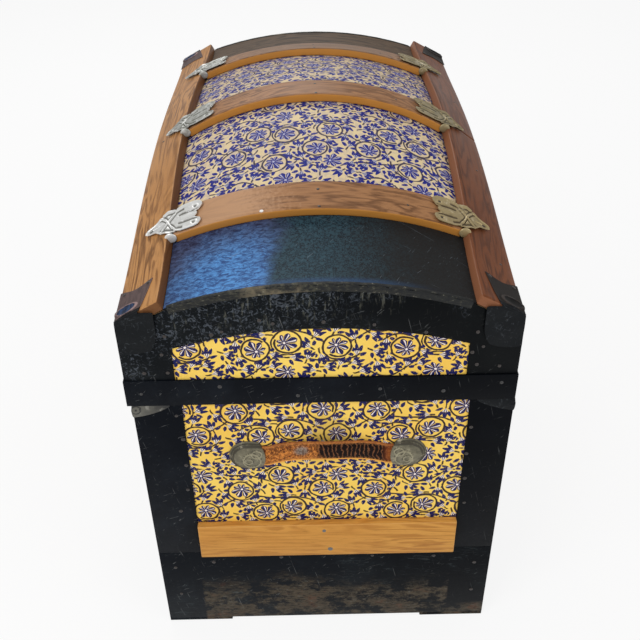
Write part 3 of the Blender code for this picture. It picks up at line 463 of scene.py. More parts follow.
def enamel(name, base, lift, wear=0.35, crackle=0.0, rust_top=0.0):
    """Black paint on sheet: cloudy, rubbed grey in places, scratched, and darkened towards the back as
    painted shade.
    """
    finish = Finish(name)
    y = finish.split(finish.place)[1]
    cloud = finish.noise(14.0, 6.0, 0.65)
    fine = finish.noise(160.0, 4.0, 0.7)
    marks = scratches(finish)
    worn = finish.step(fine, 0.60, 0.72) * finish.step(cloud, 0.48, 0.62)
    colour = finish.mix(finish.step(cloud, 0.42, 0.72), base, lift)
    colour = finish.mix(worn * wear, colour, (0.10, 0.105, 0.10))
    # Painted shade: the sheet darkens towards the back of the trunk.
    colour = finish.mix(finish.step(y, -0.04, 0.15) * 0.75, colour, times(base, 0.35))
    if crackle:
        colour = crackle_over(finish, colour, cloud, crackle)
    # Pale scratches, fainter towards the back under the painted shade.
    colour = finish.mix(marks * 0.35 * (1 - finish.step(y, 0.02, 0.15) * 0.6), colour, (0.30, 0.31, 0.31))
    if rust_top:
        colour = rust_over(finish, colour, cloud, rust_top)
    height = fine * 0.6 + cloud + marks * 0.3
    return finish.coat(colour, height, 0.0006, 0.35, 0.34 + fine * 0.22 + worn * 0.2 + marks * 0.1, 0.06)


def sheet_with_painted_reflection():
    """The dome's end sheet: a painted blue reflection towards the front, speckled teal behind it, and painted
    shade that darkens it towards the back.
    """
    finish = Finish("enamel_with_painted_reflection")
    x, y, _ = finish.split(finish.place)
    cloud = finish.noise(26.0, 5.0, 0.65)
    # Streaks that vary the painted reflection's brightness and the roughness.
    rubbed = finish.noise(240.0, 4.0, 0.75, (1.0, 0.45, 1.0), 0.8)
    speck = finish.noise(190.0, 3.0, 0.7)
    # Painted reflection: a violet and bright blue patch towards the front, brightest at its middle.
    violet = finish.mix(finish.step(rubbed, 0.36, 0.64), (0.020, 0.020, 0.045), (0.062, 0.080, 0.165))
    blue = finish.mix(finish.step(rubbed, 0.38, 0.62), (0.024, 0.072, 0.220), (0.095, 0.290, 0.640))
    middle = finish.combine((x - 0.356) * 0.85, y + 0.100)
    away = finish.vector("LENGTH", middle, out="Value")
    colour = finish.mix(finish.step(away + (cloud - 0.5) * 0.06, 0.088, 0.020), violet, blue)
    squiggle = finish.step(abs(speck - 0.5), 0.012, 0.055)
    teal = finish.mix(squiggle, (0.006, 0.010, 0.016), (0.027, 0.062, 0.083))
    # Painted shade: the teal goes darker towards the back.
    backwards = finish.step(y + (cloud - 0.5) * 0.10, -0.010, 0.115)
    teal = finish.mix(backwards * 0.92, teal, (0.016, 0.014, 0.013))
    change = y + (cloud - 0.5) * (0.400 - x) * 0.35 + (x - 0.32) * 0.10
    sharp = 1 + finish.step(x, 0.28, 0.37) * 2.5
    colour = finish.mix(finish.step((change + 0.050) * sharp, -0.030, 0.030), colour, teal)
    # Painted reflection, brighter along the fold at the end.
    hem = finish.step(x, 0.366, 0.377) * finish.step(y, 0.14, 0.03) * finish.step(y, -0.07, -0.04)
    colour = finish.mix(hem * 0.6, colour, (0.030, 0.075, 0.175))
    colour = finish.mix(scratches(finish) * 0.22, colour, (0.30, 0.36, 0.42))
    return finish.coat(colour, rubbed * 0.6 + cloud, 0.0006, 0.35, 0.36 + rubbed * 0.25, 0.08)


def wood(name, along, dark, mid, bright, edge=None, gloss=0.42, seed=0.0, sheen_and_patches=()):
    """Varnished wood with its grain along one axis (0 is X, 1 is Y, 2 is Z)."""
    finish = Finish(name)

    def stretched(share):
        return tuple(share if axis == along else 1.0 for axis in range(3))

    place = finish.vector("ADD", finish.place, (seed, seed * 0.7, seed * 0.3))
    figure = finish.noise(34.0, 3.0, 0.55, stretched(0.09), 0.6, place=place)
    rings = finish.math("FRACT", figure * 9.0)
    rings = finish.step(rings, 0.0, 0.55) * finish.step(rings, 1.0, 0.72)
    streak = finish.noise(420.0, 4.0, 0.65, stretched(0.03), place=place)
    pores = finish.noise(1500.0, 2.0, 0.5, stretched(0.05), place=place)
    cloud = finish.noise(7.0, 4.0, 0.6, place=place)
    colour = finish.mix(rings * 0.75 + (streak - 0.5) * 1.5 + 0.22, dark, mid)
    colour = finish.mix(finish.step(cloud, 0.40, 0.72) * 0.75, colour, bright)
    colour = finish.mix(finish.step(pores, 0.62, 0.74) * 0.5, colour, times(dark, 0.4))
    # Ragged patches over the grain; on the bent slats a painted sheen and a grey patch.
    colour = finish.spots(colour, sheen_and_patches, 240.0)
    if edge:
        worn = finish.marked("worn_edge") + (finish.noise(60.0, 4.0, 0.7) - 0.5) * 0.5
        colour = finish.mix(finish.step(worn, 0.35, 0.65) * 0.9, colour, edge)
    height = streak * 0.5 + rings * 0.15 + pores * 0.5
    return finish.coat(colour, height, 0.0004, 0.3, gloss + (streak - 0.5) * 0.25, 0.12)


def cast_metal(name, low, high, gleam, metallic, dulled=0.0):
    """Plated casting: dark in its hollows and bright where it stands proud, dulled towards the far end."""
    finish = Finish(name, metallic=metallic)
    tarnish = finish.noise(110.0, 5.0, 0.7)
    grain = finish.noise(900.0, 3.0, 0.6)
    proud = finish.step(finish.marked("relief") + (tarnish - 0.5) * 0.5, 0.10, 0.62)
    colour = finish.mix(proud, low, high)
    colour = finish.mix(finish.step(tarnish, 0.56, 0.70) * 0.7, colour, gleam)
    if dulled:
        x = finish.split(finish.place)[0]
        away = finish.step(x, 0.17, 0.05) * (finish.step(tarnish, 0.62, 0.42) * 0.5 + 0.5)
        colour = finish.mix(away * dulled, colour, (0.130, 0.140, 0.100))
    height = tarnish * 0.6 + grain * 0.3
    return finish.coat(colour, height, 0.0006, 0.35, 0.5 - proud * 0.15 + grain * 0.1)


def fold_wear_and_light():
    """The sheet's edge over each end of the lid: olive in places, partly wear and partly painted light the
    fold catches from above, straw in places, and painted shade towards the back.
    """
    finish = Finish("fold_wear_and_light", roughness=0.6)
    soot = (0.010, 0.011, 0.012)
    patch = finish.noise(24.0, 5.0, 0.65)
    thread = finish.noise(1.0, 4.0, 0.7, (300.0, 160.0, 420.0))
    y = finish.split(finish.place)[1]
    dull = finish.step(abs(y + 0.045) + (patch - 0.5) * 0.06, 0.035, 0.060)
    colour = finish.mix(finish.step(thread, 0.44, 0.62), soot, (0.060, 0.058, 0.040))
    # Olive patches: partly wear, partly painted light that the fold catches from above.
    colour = finish.mix(finish.step(patch, 0.50, 0.66) * (1 - dull) * 0.9, colour, (0.17, 0.140, 0.090))
    colour = finish.mix(dull * 0.55, colour, soot)
    # Painted shade: darker towards the back.
    colour = finish.mix(finish.step(y, 0.01, 0.12) * 0.6, colour, soot)
    colour = finish.mix(finish.step(thread, 0.62, 0.72) * 0.7, colour, (0.36, 0.34, 0.26))
    return finish.coat(colour, thread + patch, 0.0008, 0.5, specular=0.25)


def cap_sheet(name, plate, ring):
    """Painted sheet of a corner cap: worn on its top plate, with a painted reflection in its round dish and
    painted highlights on the ring round it and along the fold, black where it hangs over the end.
    """
    finish = Finish(name)
    relief = finish.marked("relief")
    on_plate = finish.marked("plate")
    cloud = finish.noise(60.0, 5.0, 0.7)
    rubbed = finish.noise(260.0, 3.0, 0.6, (0.25, 1.0, 1.0))
    cells = finish.noise(150.0, 5.0, 0.75, None, 1.6)
    chips = finish.step(cells, 0.55, 0.62) * finish.step(cloud, 0.40, 0.60)
    black = finish.mix(chips * 0.6, (0.0032, 0.0045, 0.0060), (0.060, 0.068, 0.078))
    worn = finish.mix(finish.step(rubbed, 0.3, 0.7), times(plate, 0.6), plate)
    # Painted highlight on the embossed ring round the dish.
    worn = finish.mix(finish.below(abs(relief - 0.40), 0.14, 0.06) * 0.8, worn, times(plate, 3.0))
    # The round dish in the ring's colour, which on the front caps is a painted blue reflection.
    dish = finish.mix(finish.step(rubbed, 0.42, 0.60), times(ring, 0.35), ring)
    worn = finish.mix(finish.step(relief + (cloud - 0.5) * 0.5, 0.50, 0.80) * 0.95, worn, dish)
    colour = finish.mix(finish.step(on_plate + (cloud - 0.5) * 0.5, 0.35, 0.65), black, worn)
    # Painted highlight along the fold between the plate and the tongue.
    lined = finish.step(abs(on_plate - 0.5), 0.28, 0.10) * finish.step(cloud, 0.40, 0.55)
    colour = finish.mix(lined * 0.6, colour, times(plate, 2.0))
    return finish.coat(colour, cloud + rubbed * 0.5, 0.0006, 0.35, 0.45 + rubbed * 0.25, 0.15)


def leather():
    """Stitched strap leather: orange where it is rubbed, and a dark, ribbed, cracked middle."""
    finish = Finish("strap_leather")
    along = finish.marked("along")
    across = finish.marked("across")
    grain = finish.noise(320.0, 5.0, 0.7)
    patch = finish.noise(60.0, 4.0, 0.6) - 0.5
    chip = finish.noise(190.0, 4.0, 0.75, (1.0, 1.3, 0.7))
    colour = finish.mix(finish.step(grain, 0.36, 0.60), (0.20, 0.050, 0.012), (0.70, 0.260, 0.055))

    # The dark middle, ribbed across
    middle = finish.step(abs(across) + patch * 0.2, 0.94, 0.82)
    span = finish.step(along + patch * 0.4, -0.16, -0.06) * finish.step(along + patch * 0.3, 0.84, 0.72)
    ribs = finish.math("SINE", along * 112.0 + across * 1.2 + patch * 16.0) * 0.5 + 0.5
    cracks = finish.step(ribs + (grain - 0.5) * 1.2, 0.70, 1.05)
    dark = finish.mix(cracks, (0.008, 0.003, 0.002), (0.190, 0.075, 0.032))
    colour = finish.mix(middle * span, colour, dark)

    # Flakes and a grey patch beside it
    flake = finish.step(chip + across * 0.06, 0.50, 0.57) * middle * (1 - span)
    colour = finish.mix(flake * 0.8, colour, (0.085, 0.026, 0.011))
    colour = finish.mix(finish.step(along, 0.66, 0.80) * (1 - flake) * 0.75, colour, (0.27, 0.058, 0.014))
    away = ((along + 0.33) * (along + 0.33) * 4.0 + (across - 0.15) * (across - 0.15) * 0.14) ** 0.5
    grey = finish.mix(finish.step(grain, 0.4, 0.6), (0.10, 0.075, 0.060), (0.27, 0.245, 0.220))
    colour = finish.mix(finish.below(away + (chip - 0.5) * 0.35, 0.17, 0.07) * 0.85, colour, grey)

    # The rubbed rims and the stitching
    lower = finish.step(across, 0.3, -0.3)
    edge = finish.step(abs(across), 0.80, 0.87) * lower + finish.step(across, 0.88, 0.94) * 0.7
    colour = finish.mix(edge * 0.9, colour, finish.mix(lower, (0.30, 0.115, 0.040), (0.90, 0.40, 0.085)))
    stitch = finish.below(abs(abs(across) - 0.76), 0.040, 0.015)
    stitch = stitch * finish.step(finish.math("SINE", along * 150.0), -0.3, 0.2)
    colour = finish.mix(stitch * 0.55, colour, (0.42, 0.20, 0.075))
    height = grain * 0.5 + cracks * middle * span * 0.8 + stitch * 0.8
    return finish.coat(colour, height, 0.0007, 0.5, 0.50 + grain * 0.3, 0.10)


YELLOW_PAPER = yellow_paper()
CREAM_PAPER = cream_paper()
BLACK = enamel("black_enamel", (0.0030, 0.0042, 0.0070), (0.0075, 0.0100, 0.0145))
LOW_BLACK = enamel("rusted_enamel", (0.0040, 0.0056, 0.0085), (0.011, 0.015, 0.019),
                   wear=0.5, rust_top=0.098)
ARCH_BLACK = enamel("crackled_enamel", (0.0032, 0.0045, 0.0060), (0.0085, 0.0110, 0.0120),
                    wear=0.4, crackle=0.8)
BLUE_BLACK = sheet_with_painted_reflection()
BROWN_SHEET = wood("browned_sheet", 1, (0.045, 0.034, 0.025), (0.122, 0.082, 0.054), (0.100, 0.066, 0.043),
                   gloss=0.6, seed=8.2)
PINE = wood("pine", 0, (0.36, 0.21, 0.09), (0.56, 0.37, 0.19), (0.62, 0.44, 0.25), gloss=0.6)
HONEY_OAK = wood("honey_oak", 0, (0.15, 0.060, 0.018), (0.52, 0.255, 0.090), (0.42, 0.190, 0.060),
                 edge=(0.13, 0.052, 0.020))
RED_OAK = wood("red_oak", 0, (0.070, 0.022, 0.009), (0.180, 0.058, 0.021), (0.150, 0.047, 0.018),
               edge=(0.25, 0.100, 0.048), seed=3.1)
BENT_OAK = wood("bent_oak", 1, (0.13, 0.056, 0.024), (0.38, 0.185, 0.080), (0.30, 0.150, 0.070),
                edge=(0.50, 0.215, 0.040), seed=1.7,
                # A painted sheen at the front of the near slat, and a grey patch on the far slat.
                sheen_and_patches=[((0.245, -0.125, 0.57), 0.085, (0.54, 0.31, 0.17), 0.75),
                       ((-0.240, 0.02, 0.60), 0.120, (0.14, 0.10, 0.068), 0.5)])
END_OAK = wood("end_oak", 1, (0.42, 0.17, 0.032), (0.66, 0.32, 0.070), (0.60, 0.27, 0.055),
               edge=(0.66, 0.34, 0.10), seed=5.3)
SILVER = cast_metal("dulled_silver", (0.20, 0.195, 0.175), (0.76, 0.76, 0.74), (0.90, 0.90, 0.90), 0.45, 0.6)
BRASSY = cast_metal("greened_brass", (0.090, 0.062, 0.030), (0.40, 0.31, 0.155), (0.60, 0.51, 0.34),
                    0.40, 0.4)
CAP_METAL = cast_metal("grey_green_casting", (0.050, 0.044, 0.028), (0.33, 0.300, 0.195),
                       (0.40, 0.36, 0.26), 0.25)
BRASS = cast_metal("dull_brass", (0.16, 0.10, 0.035), (0.42, 0.29, 0.11), (0.58, 0.44, 0.20), 0.85)
IRON = cast_metal("dark_iron", (0.020, 0.018, 0.016), (0.055, 0.054, 0.054), (0.11, 0.10, 0.09), 0.6)
WHITED = cast_metal("painted_nail_head", (0.60, 0.60, 0.58), (0.85, 0.85, 0.83), (0.80, 0.80, 0.78), 0.0)
RUSTY = cast_metal("rusted_nail_heads", (0.008, 0.007, 0.007), (0.032, 0.025, 0.022),
                   (0.075, 0.065, 0.058), 0.1)
NAIL = cast_metal("nail_heads", (0.05, 0.047, 0.042), (0.16, 0.155, 0.14), (0.30, 0.29, 0.27), 0.6)
CLIP_METAL = cast_metal("grey_clip", (0.018, 0.018, 0.017), (0.115, 0.110, 0.090), (0.26, 0.25, 0.22), 0.2)
DARK = cast_metal("dark_hollow", (0.004, 0.004, 0.004), (0.008, 0.008, 0.008), (0.01, 0.01, 0.01), 0.0)
CAP_BLACK = cap_sheet("worn_black_cap", (0.020, 0.016, 0.014), (0.010, 0.009, 0.009))
# The front caps' last colour is a painted blue reflection in the dish.
CAP_BROWN = cap_sheet("worn_brown_cap", (0.125, 0.084, 0.080), (0.024, 0.055, 0.130))
FOLD_WEAR_AND_LIGHT = fold_wear_and_light()
LEATHER = leather()

# What the nodes of the frame are made of, by how their names start. The rest is black sheet.
NODE_FINISHES = (
    (("front_board", "back_board", "end_board"), YELLOW_PAPER),
    (("lid_front_board", "lid_back_board", "lid_end_board"), YELLOW_PAPER),
    ("dome_shell", CREAM_PAPER),
    ("dome_sheet_right", BLUE_BLACK),
    ("dome_sheet_left", BROWN_SHEET),
    ("lid_end_binding", ARCH_BLACK),
    (("bottom_binding", "runner"), LOW_BLACK),
    ("edge_slat_front", HONEY_OAK),
    (("edge_slat", "front_rail", "back_rail"), RED_OAK),
    ("bent_slat", BENT_OAK),
    ("end_slat", END_OAK),
    ("slat_clamp_front", SILVER),
    ("slat_clamp_back", BRASSY),
    ("handle_cap", CAP_METAL),
    ("handle_strap", LEATHER),
    (("hinge", "lock_bolt"), IRON),
    (("lock", "hasp"), BRASS),
    (("floor", "tray"), PINE),
)

for name, node in nodes.items():
    material = next((made for starts, made in NODE_FINISHES if name.startswith(starts)), BLACK)
    for part in node.material_slots:
        part.material = material


# Making pieces

def name_piece(name):
    piece = bpy.context.object
    piece.name = name
    piece.data.name = name
    return piece


def add_primitive(name, kind, **settings):
    """Adds one of the mesh primitives with nothing else selected."""
    bpy.ops.object.select_all(action="DESELECT")
    getattr(bpy.ops.mesh, f"primitive_{kind}_add")(**settings)
    return name_piece(name)


def mark(piece, name, values):
    """Stores a number for each point, or one number for all of them, for a material to read."""
    if isinstance(values, float):
        values = [values] * len(piece.data.vertices)
    layer = piece.data.attributes.get(name) or piece.data.attributes.new(name, "FLOAT", "POINT")
    layer.data.foreach_set("value", values)


def shape_grid(name, columns, rows, rule, *marks):
    """A flat grid, from -1 to 1 both ways, of which the rule gives each point its place on the trunk.
    Where marks are named, the rule gives a number for each of them too."""
    piece = add_primitive(name, "grid", x_subdivisions=columns, y_subdivisions=rows, size=2)
    places = [rule(point.co.x, point.co.y) for point in piece.data.vertices]
    if marks:
        places, *numbers = zip(*places)
        for mark_name, values in zip(marks, numbers):
            mark(piece, mark_name, values)
    for point, place in zip(piece.data.vertices, places):
        point.co = place
    piece.data.update()
    return piece


def use_modifier(piece, kind, **settings):
    bpy.context.view_layer.objects.active = piece
    modifier = piece.modifiers.new(kind.lower(), kind)
    for key, value in settings.items():
        setattr(modifier, key, value)
    bpy.ops.object.modifier_apply(modifier=modifier.name)


def turn_out(piece, out, middle):
    """Turns a laid grid to face out. Its first face tells how it lies, or the one in its middle."""
    faces = piece.data.polygons
    if faces[len(faces) // 2 if middle else 0].normal.dot(out) < 0:
        piece.data.flip_normals()


def thicken(piece, out, thickness, middle=False, **settings):
    """Turns a laid grid to face out, and gives it its thickness behind."""
    turn_out(piece, out, middle)
    use_modifier(piece, "SOLIDIFY", thickness=thickness, offset=-1.0, use_even_offset=False, **settings)


def round_edges(piece, width, segments=2, angle=40):
    use_modifier(piece, "BEVEL", width=width, segments=segments, limit_method="ANGLE",
                 angle_limit=math.radians(angle), use_clamp_overlap=True)


def pick_all(piece):
    bpy.ops.object.select_all(action="DESELECT")
    piece.select_set(True)
    bpy.context.view_layer.objects.active = piece


def edit_merged(piece, gap):
    """Opens a piece for editing, all selected, and merges the points that lie closer than the gap."""
    pick_all(piece)
    bpy.ops.object.mode_set(mode="EDIT")
    bpy.ops.mesh.select_all(action="SELECT")
    bpy.ops.mesh.remove_doubles(threshold=gap)


def edit_faces(piece, way):
    """Opens a piece for editing with those faces selected that look one way."""
    bpy.ops.object.mode_set(mode="EDIT")
    bpy.ops.mesh.select_all(action="DESELECT")
    bpy.ops.object.mode_set(mode="OBJECT")
    for face in piece.data.polygons:
        face.select = face.normal.dot(way) > 0.9
    bpy.ops.object.mode_set(mode="EDIT")


def pull_faces(*move):
    bpy.ops.mesh.extrude_region_move(TRANSFORM_OT_translate={"value": move})


def round_board(piece, width, segments, angle=40):
    """Merges doubled points, turns every face outwards and rounds the edges."""
    edit_merged(piece, 0.00002)
    bpy.ops.mesh.normals_make_consistent(inside=False)
    bpy.ops.object.mode_set(mode="OBJECT")
    round_edges(piece, width, segments, angle)


def complete(piece, body, slot, material, *hidden, smooth=35):
    """Settles a finished piece: its place in its mesh, its shading, its finish and what carries it."""
    pick_all(piece)
    bpy.ops.object.transform_apply(location=True, rotation=True, scale=True)
    bpy.ops.object.shade_smooth_by_angle(angle=math.radians(smooth))
    if material:
        piece.data.materials.clear()
        piece.data.materials.append(material)
    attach(piece, body)
    if hidden:
        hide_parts(*hidden)


def join(name, pieces):
    bpy.ops.object.select_all(action="DESELECT")
    for piece in pieces:
        piece.select_set(True)
    bpy.context.view_layer.objects.active = pieces[0]
    if len(pieces) > 1:
        bpy.ops.object.join()
    return name_piece(name)


def held(value):
    """A number kept between 0 and 1."""
    return min(1.0, max(0.0, value))


def ridge(distance, width):
    """1 on a line and 0 from its width on, rounded between."""
    return max(0.0, 1 - (distance / width) ** 2)


def round_corner(run, radius):
    """Along a quarter turn and straight on: how far out and down the turn goes, and the run past it."""
    quarter = radius * math.pi / 2
    bend = min(run / quarter, 1) * math.pi / 2
    return radius * math.sin(bend), radius * (1 - math.cos(bend)), max(run - quarter, 0)


# The lid's own form

ROOF_RADIUS = 0.53
Section = namedtuple("Section", "half edge corner radius angle centre slope")


def roof(x):
    """The lid's section at one place along the trunk, highest at the middle."""
    share = (1 - (x / HALF_LENGTH) ** 2) ** 2 if abs(x) < HALF_LENGTH else 0.0
    half = 0.1695 + 0.0045 * share
    edge = 0.561 + 0.0285 * share
    rise = 0.589 + 0.0515 * share - edge
    corner = 0.529 + 0.020 * share
    radius = (half ** 2 + rise ** 2) / (2 * rise)
    slope = math.atan2(edge - corner, LID_HALF - half)
    return Section(half, edge, corner, radius, math.asin(half / radius), edge + rise - radius, slope)


def over_roof(x, place, lift):
    """A point over the round part of the lid: place runs from -1 at the front edge to 1 at the back."""
    at = roof(x)
    reach, turn = at.radius + lift, at.angle * place
    return Vector((x, LID_SHIFT + reach * math.sin(turn), at.centre + reach * math.cos(turn)))


def roof_out(place):
    """The way out from the round part, at the middle of the trunk."""
    return over_roof(0, place, 1.0) - over_roof(0, place, 0.0)


def on_slope(x, side, reach, lift):
    """A point on the flat slope beside the round part, reach from the lid's middle."""
    at = roof(x)
    start = at.half + lift * math.sin(at.angle)
    top = at.edge + lift * math.cos(at.angle)
    bottom = at.corner + lift / math.cos(at.slope)
    share = (reach - start) / (LID_HALF - start)
    return Vector((x, LID_SHIFT + side * reach, top + (bottom - top) * share))


def slope_up(x, side):
    slope = roof(x).slope
    return Vector((0, side * math.sin(slope), math.cos(slope)))


def on_slat(x, side, reach, lift=SLAT_THICK):
    """A point on an edge slat, or lifted off the slat's seat by another height."""
    return on_slope(x, side, reach, -SHEET) + slope_up(x, side) * lift


def mark_worn(piece, up_at):
    """Marks the sides and edges of a slat, which wear pale, from how far each point faces away from up."""
    piece.data.update()
    facing = [abs(point.normal.dot(up_at(point.co))) for point in piece.data.vertices]
    mark(piece, "worn_edge", [1 - share ** 1.5 for share in facing])


# Slats and sheets of the lid

SLAT_END = HALF_LENGTH - 0.0003
SLAT_GAP = 0.0003
SHELL_DEPTH = 0.0018
ROUND_SHARE = 0.8
HEM_START = HALF_LENGTH - 0.0053
HEM_WIDTH = 0.0030
HEM_LIFT = 0.0007


def add_bent_slats():
    """Three slats bent over the dome."""
    def up_at(at):
        lean = (at.y - LID_SHIFT) / ROOF_RADIUS
        return Vector((0, lean, math.sqrt(1 - lean ** 2)))

    for name, middle in SLAT_PLACES.items():
        piece = shape_grid("bent_slat_wood_" + name, 9, 72,
                           lambda u, v: over_roof(middle + u * BENT_HALF, v * BENT_SHARE, BENT_RISE))
        thicken(piece, UP, 0.0115)
        round_board(piece, 0.0022, 3)
        mark_worn(piece, up_at)
        complete(piece, "lid", "oak", BENT_OAK, "bent_slat_" + name)


def add_edge_slats():
    """The long slats on the lid's slopes: one piece at the front, two that meet at the middle behind."""
    for name, side, low, high, material in (("front", -1, -SLAT_END, SLAT_END, HONEY_OAK),
                                            ("back_left", 1, -SLAT_END, -SLAT_GAP, RED_OAK),
                                            ("back_right", 1, SLAT_GAP, SLAT_END, RED_OAK)):
        def rule(u, v):
            x = low + (high - low) * (u + 1) / 2
            inner = roof(x).half + 0.0005
            return on_slat(x, side, inner + (SLAT_REACH - inner) * (v + 1) / 2)

        piece = shape_grid("edge_slat_wood_" + name, 72, 5, rule)
        thicken(piece, UP, SLAT_THICK)
        round_board(piece, 0.0024, 3)
        mark_worn(piece, lambda at: slope_up(at.x, side))
        complete(piece, "lid", "oak", material, "edge_slat_" + name)


def shell_point(x, v):
    """A row across the whole roof, which past the round part runs down the slopes beside it."""
    if abs(v) <= ROUND_SHARE:
        return over_roof(x, v / ROUND_SHARE, -SHELL_DEPTH)
    side = 1 if v > 0 else -1
    at = roof(x)
    start = at.half - SHELL_DEPTH * math.sin(at.angle)
    reach = start + (0.2252 - start) * (abs(v) - ROUND_SHARE) / (1 - ROUND_SHARE)
    return on_slope(x, side, reach, -SHELL_DEPTH)


def fold_point(side, u, v):
    """The sheet's folded edge: a flat hem on the dome, a quarter turn, and a lip down the end."""
    along = (u + 1) / 2 * 0.0135
    ripple = 0.0002 * math.sin(v * 40) + 0.00015 * math.sin(v * 97 + u * 3)
    if along < HEM_WIDTH:
        return over_roof(side * (HEM_START + along), v * BENT_SHARE, HEM_LIFT + ripple)
    out, drop, down = round_corner(along - HEM_WIDTH, HEM_WIDTH)
    place = over_roof(side * HALF_LENGTH, v * BENT_SHARE, HEM_LIFT - drop - down)
    past_end = HEM_START + HEM_WIDTH + out + ripple - HALF_LENGTH
    return place + Vector((side * past_end, 0, 0))


def add_roof_pieces():
    """The papered shell, the sheets at its ends and the folded edge over each end."""
    shell = shape_grid("papered_dome", 60, 56, lambda u, v: shell_point(u * 0.3817, v))
    for material in (CREAM_PAPER, PINE):
        shell.data.materials.append(material)
    thicken(shell, UP, 0.008, material_offset=1, material_offset_rim=1)
    complete(shell, "lid", "papered_shell", None, "dome_shell")
    for name, side in ENDS.items():
        sheet = shape_grid("dome_end_sheet_" + name, 24, 56,
                           lambda u, v: over_roof(side * (0.3224 + u * 0.0594), v * 1.006, 0.0))
        thicken(sheet, UP, SHEET)
        complete(sheet, "lid", "black_sheet", BLUE_BLACK if side > 0 else BROWN_SHEET, "dome_sheet_" + name)
        fold = shape_grid("arch_fold_" + name, 14, 72, lambda u, v: fold_point(side, u, v))
        thicken(fold, UP, 0.0005)
        complete(fold, "lid", "black_sheet", FOLD_WEAR_AND_LIGHT)


# Castings and caps of the lid

# Half width of a slat clamp, as shares of CLAMP_HALF, along its length from the tip on the edge slat
CLAMP_PROFILE = [(0, 0.05), (0.03, 0.16), (0.09, 0.25), (0.16, 0.31), (0.22, 0.40), (0.27, 0.58),
                 (0.33, 0.74), (0.42, 0.88), (0.50, 0.93), (0.56, 0.88), (0.61, 0.90), (0.68, 1.0),
                 (0.80, 1.0), (1.0, 0.96)]
CLAMP_HALF = 0.024
CLAMP_SEAT = 0.0006
CLAMP_TIP = 0.1985
CLAMP_END = 0.137
CAP_RUN = 0.054
CAP_DROP = 0.046
CAP_INNER = 0.1915
CAP_SEAT = SLAT_THICK + 0.0008
CAP_PROUD = 0.0022


def profile(table, share):
    """The value at a share between the rows of a table."""
    for (first, low), (second, high) in zip(table, table[1:]):
        if share <= second:
            return low + (high - low) * (share - first) / (second - first)
    return table[-1][1]


def clamp_end(u):
    """Where the clamp ends over the bent slat: two long lobes with a short one between them."""
    away = abs(u)
    if away < 0.26:
        return 0.88 + 0.05 * (1 - (away / 0.26) ** 2)
    return 0.88 + 0.12 * math.sqrt(max(0.0, math.cos((away - 0.63) / 0.37 * math.pi / 2)))


def clamp_relief(u, share, near_end):
    """The casting's raised rim, crossed ribs, cut lines and lobes, from 0 in a cut to 1 on the rim."""
    u = abs(u)
    rim = max(ridge(1 - u, 0.20), ridge(near_end, 0.035), ridge(share, 0.03))
    cross = abs(u - abs(share - 0.44) / 0.17)
    ribs = ridge(cross, 0.14) if 0.25 < share < 0.63 else 0.0
    spine = ridge(u, 0.10) if 0.14 < share < 0.27 or share > 0.66 else 0.0
    cut = max(ridge(1 - u - 0.30, 0.10) if 0.26 < share < 0.70 else 0.0,
              ridge(cross - 0.22, 0.10) if 0.28 < share < 0.60 else 0.0,
              ridge(u - 0.34, 0.09) if share > 0.62 else 0.0)
    lobe = ridge(math.hypot((u - 0.62) / 0.26, (share - 0.86) / 0.085), 1.0)
    hollow = max(ridge(math.hypot((u - 0.62) / 0.12, (share - 0.88) / 0.034), 1.0),
                 ridge(math.hypot(u / 0.45, (share - 0.105) / 0.042), 1.0))
    return held(0.5 + 0.5 * max(rim, ribs, spine, lobe * 0.7) - 0.5 * cut - 0.9 * hollow)


def clamp_seat(middle, side, u, share):
    """Where the clamp lies and its way up: on the edge slat, round its corner and on the bent slat."""
    x = middle + u * CLAMP_HALF * profile(CLAMP_PROFILE, share)
    at = roof(x)
    corner = on_slat(x, side, at.half + 0.0005, SLAT_THICK + CLAMP_SEAT)
    seat = BENT_RISE + CLAMP_SEAT
    on_corner, on_bent = 0.42, 0.52
    if share < on_corner:
        tip = on_slat(x, side, CLAMP_TIP, SLAT_THICK + CLAMP_SEAT)
        return tip.lerp(corner, share / on_corner), slope_up(x, side)
    if share < on_bent:
        foot = over_roof(x, side * BENT_SHARE, seat)
        return corner.lerp(foot, (share - on_corner) / (on_bent - on_corner)), slope_up(x, side)
    end = math.asin(CLAMP_END / (at.radius + seat)) / at.angle
    place = BENT_SHARE + (end - BENT_SHARE) * (share - on_bent) / (1 - on_bent)
    turn = at.angle * place
    return over_roof(x, side * place, seat), Vector((0, side * math.sin(turn), math.cos(turn)))


def add_clamps():
    """A casting wherever a bent slat meets an edge slat."""
    for name, middle in SLAT_PLACES.items():
        for side_name, side in SIDES.items():
            def rule(u, v):
                share = (v + 1) / 2
                share *= 1 + (clamp_end(u) - 1) * max(0.0, share - 0.5) * 2
                relief = clamp_relief(u, share, clamp_end(u) - share)
                seat, up = clamp_seat(middle, side, u, share)
                return seat + up * (0.0010 + 0.0022 * relief), relief

            title = f"clamp_casting_{side_name}_{name}"
            piece = shape_grid(title, 41, 89, rule, "relief")
            thicken(piece, UP, 0.0009, middle=True)
            piece = join(title, [piece, add_clamp_tab(middle, side)])
            material = SILVER if side < 0 else BRASSY
            complete(piece, "lid", "casting", material, f"slat_clamp_{side_name}_{name}", smooth=50)


def add_clamp_tab(middle, side):
    """The round ear that hangs over the bent slat's near side."""
    x = middle + BENT_HALF
    place = over_roof(x, side * BENT_SHARE, 0.006)
    tab = add_primitive("ear", "uv_sphere", segments=20, ring_count=10, radius=0.0072,
                        location=(x + 0.0006, place.y + side * 0.003, place.z + 0.0015))
    tab.scale = (0.24, 1.0, 0.9)
    bpy.ops.object.transform_apply(location=True, rotation=True, scale=True)
    mark(tab, "relief", 0.8)
    return tab


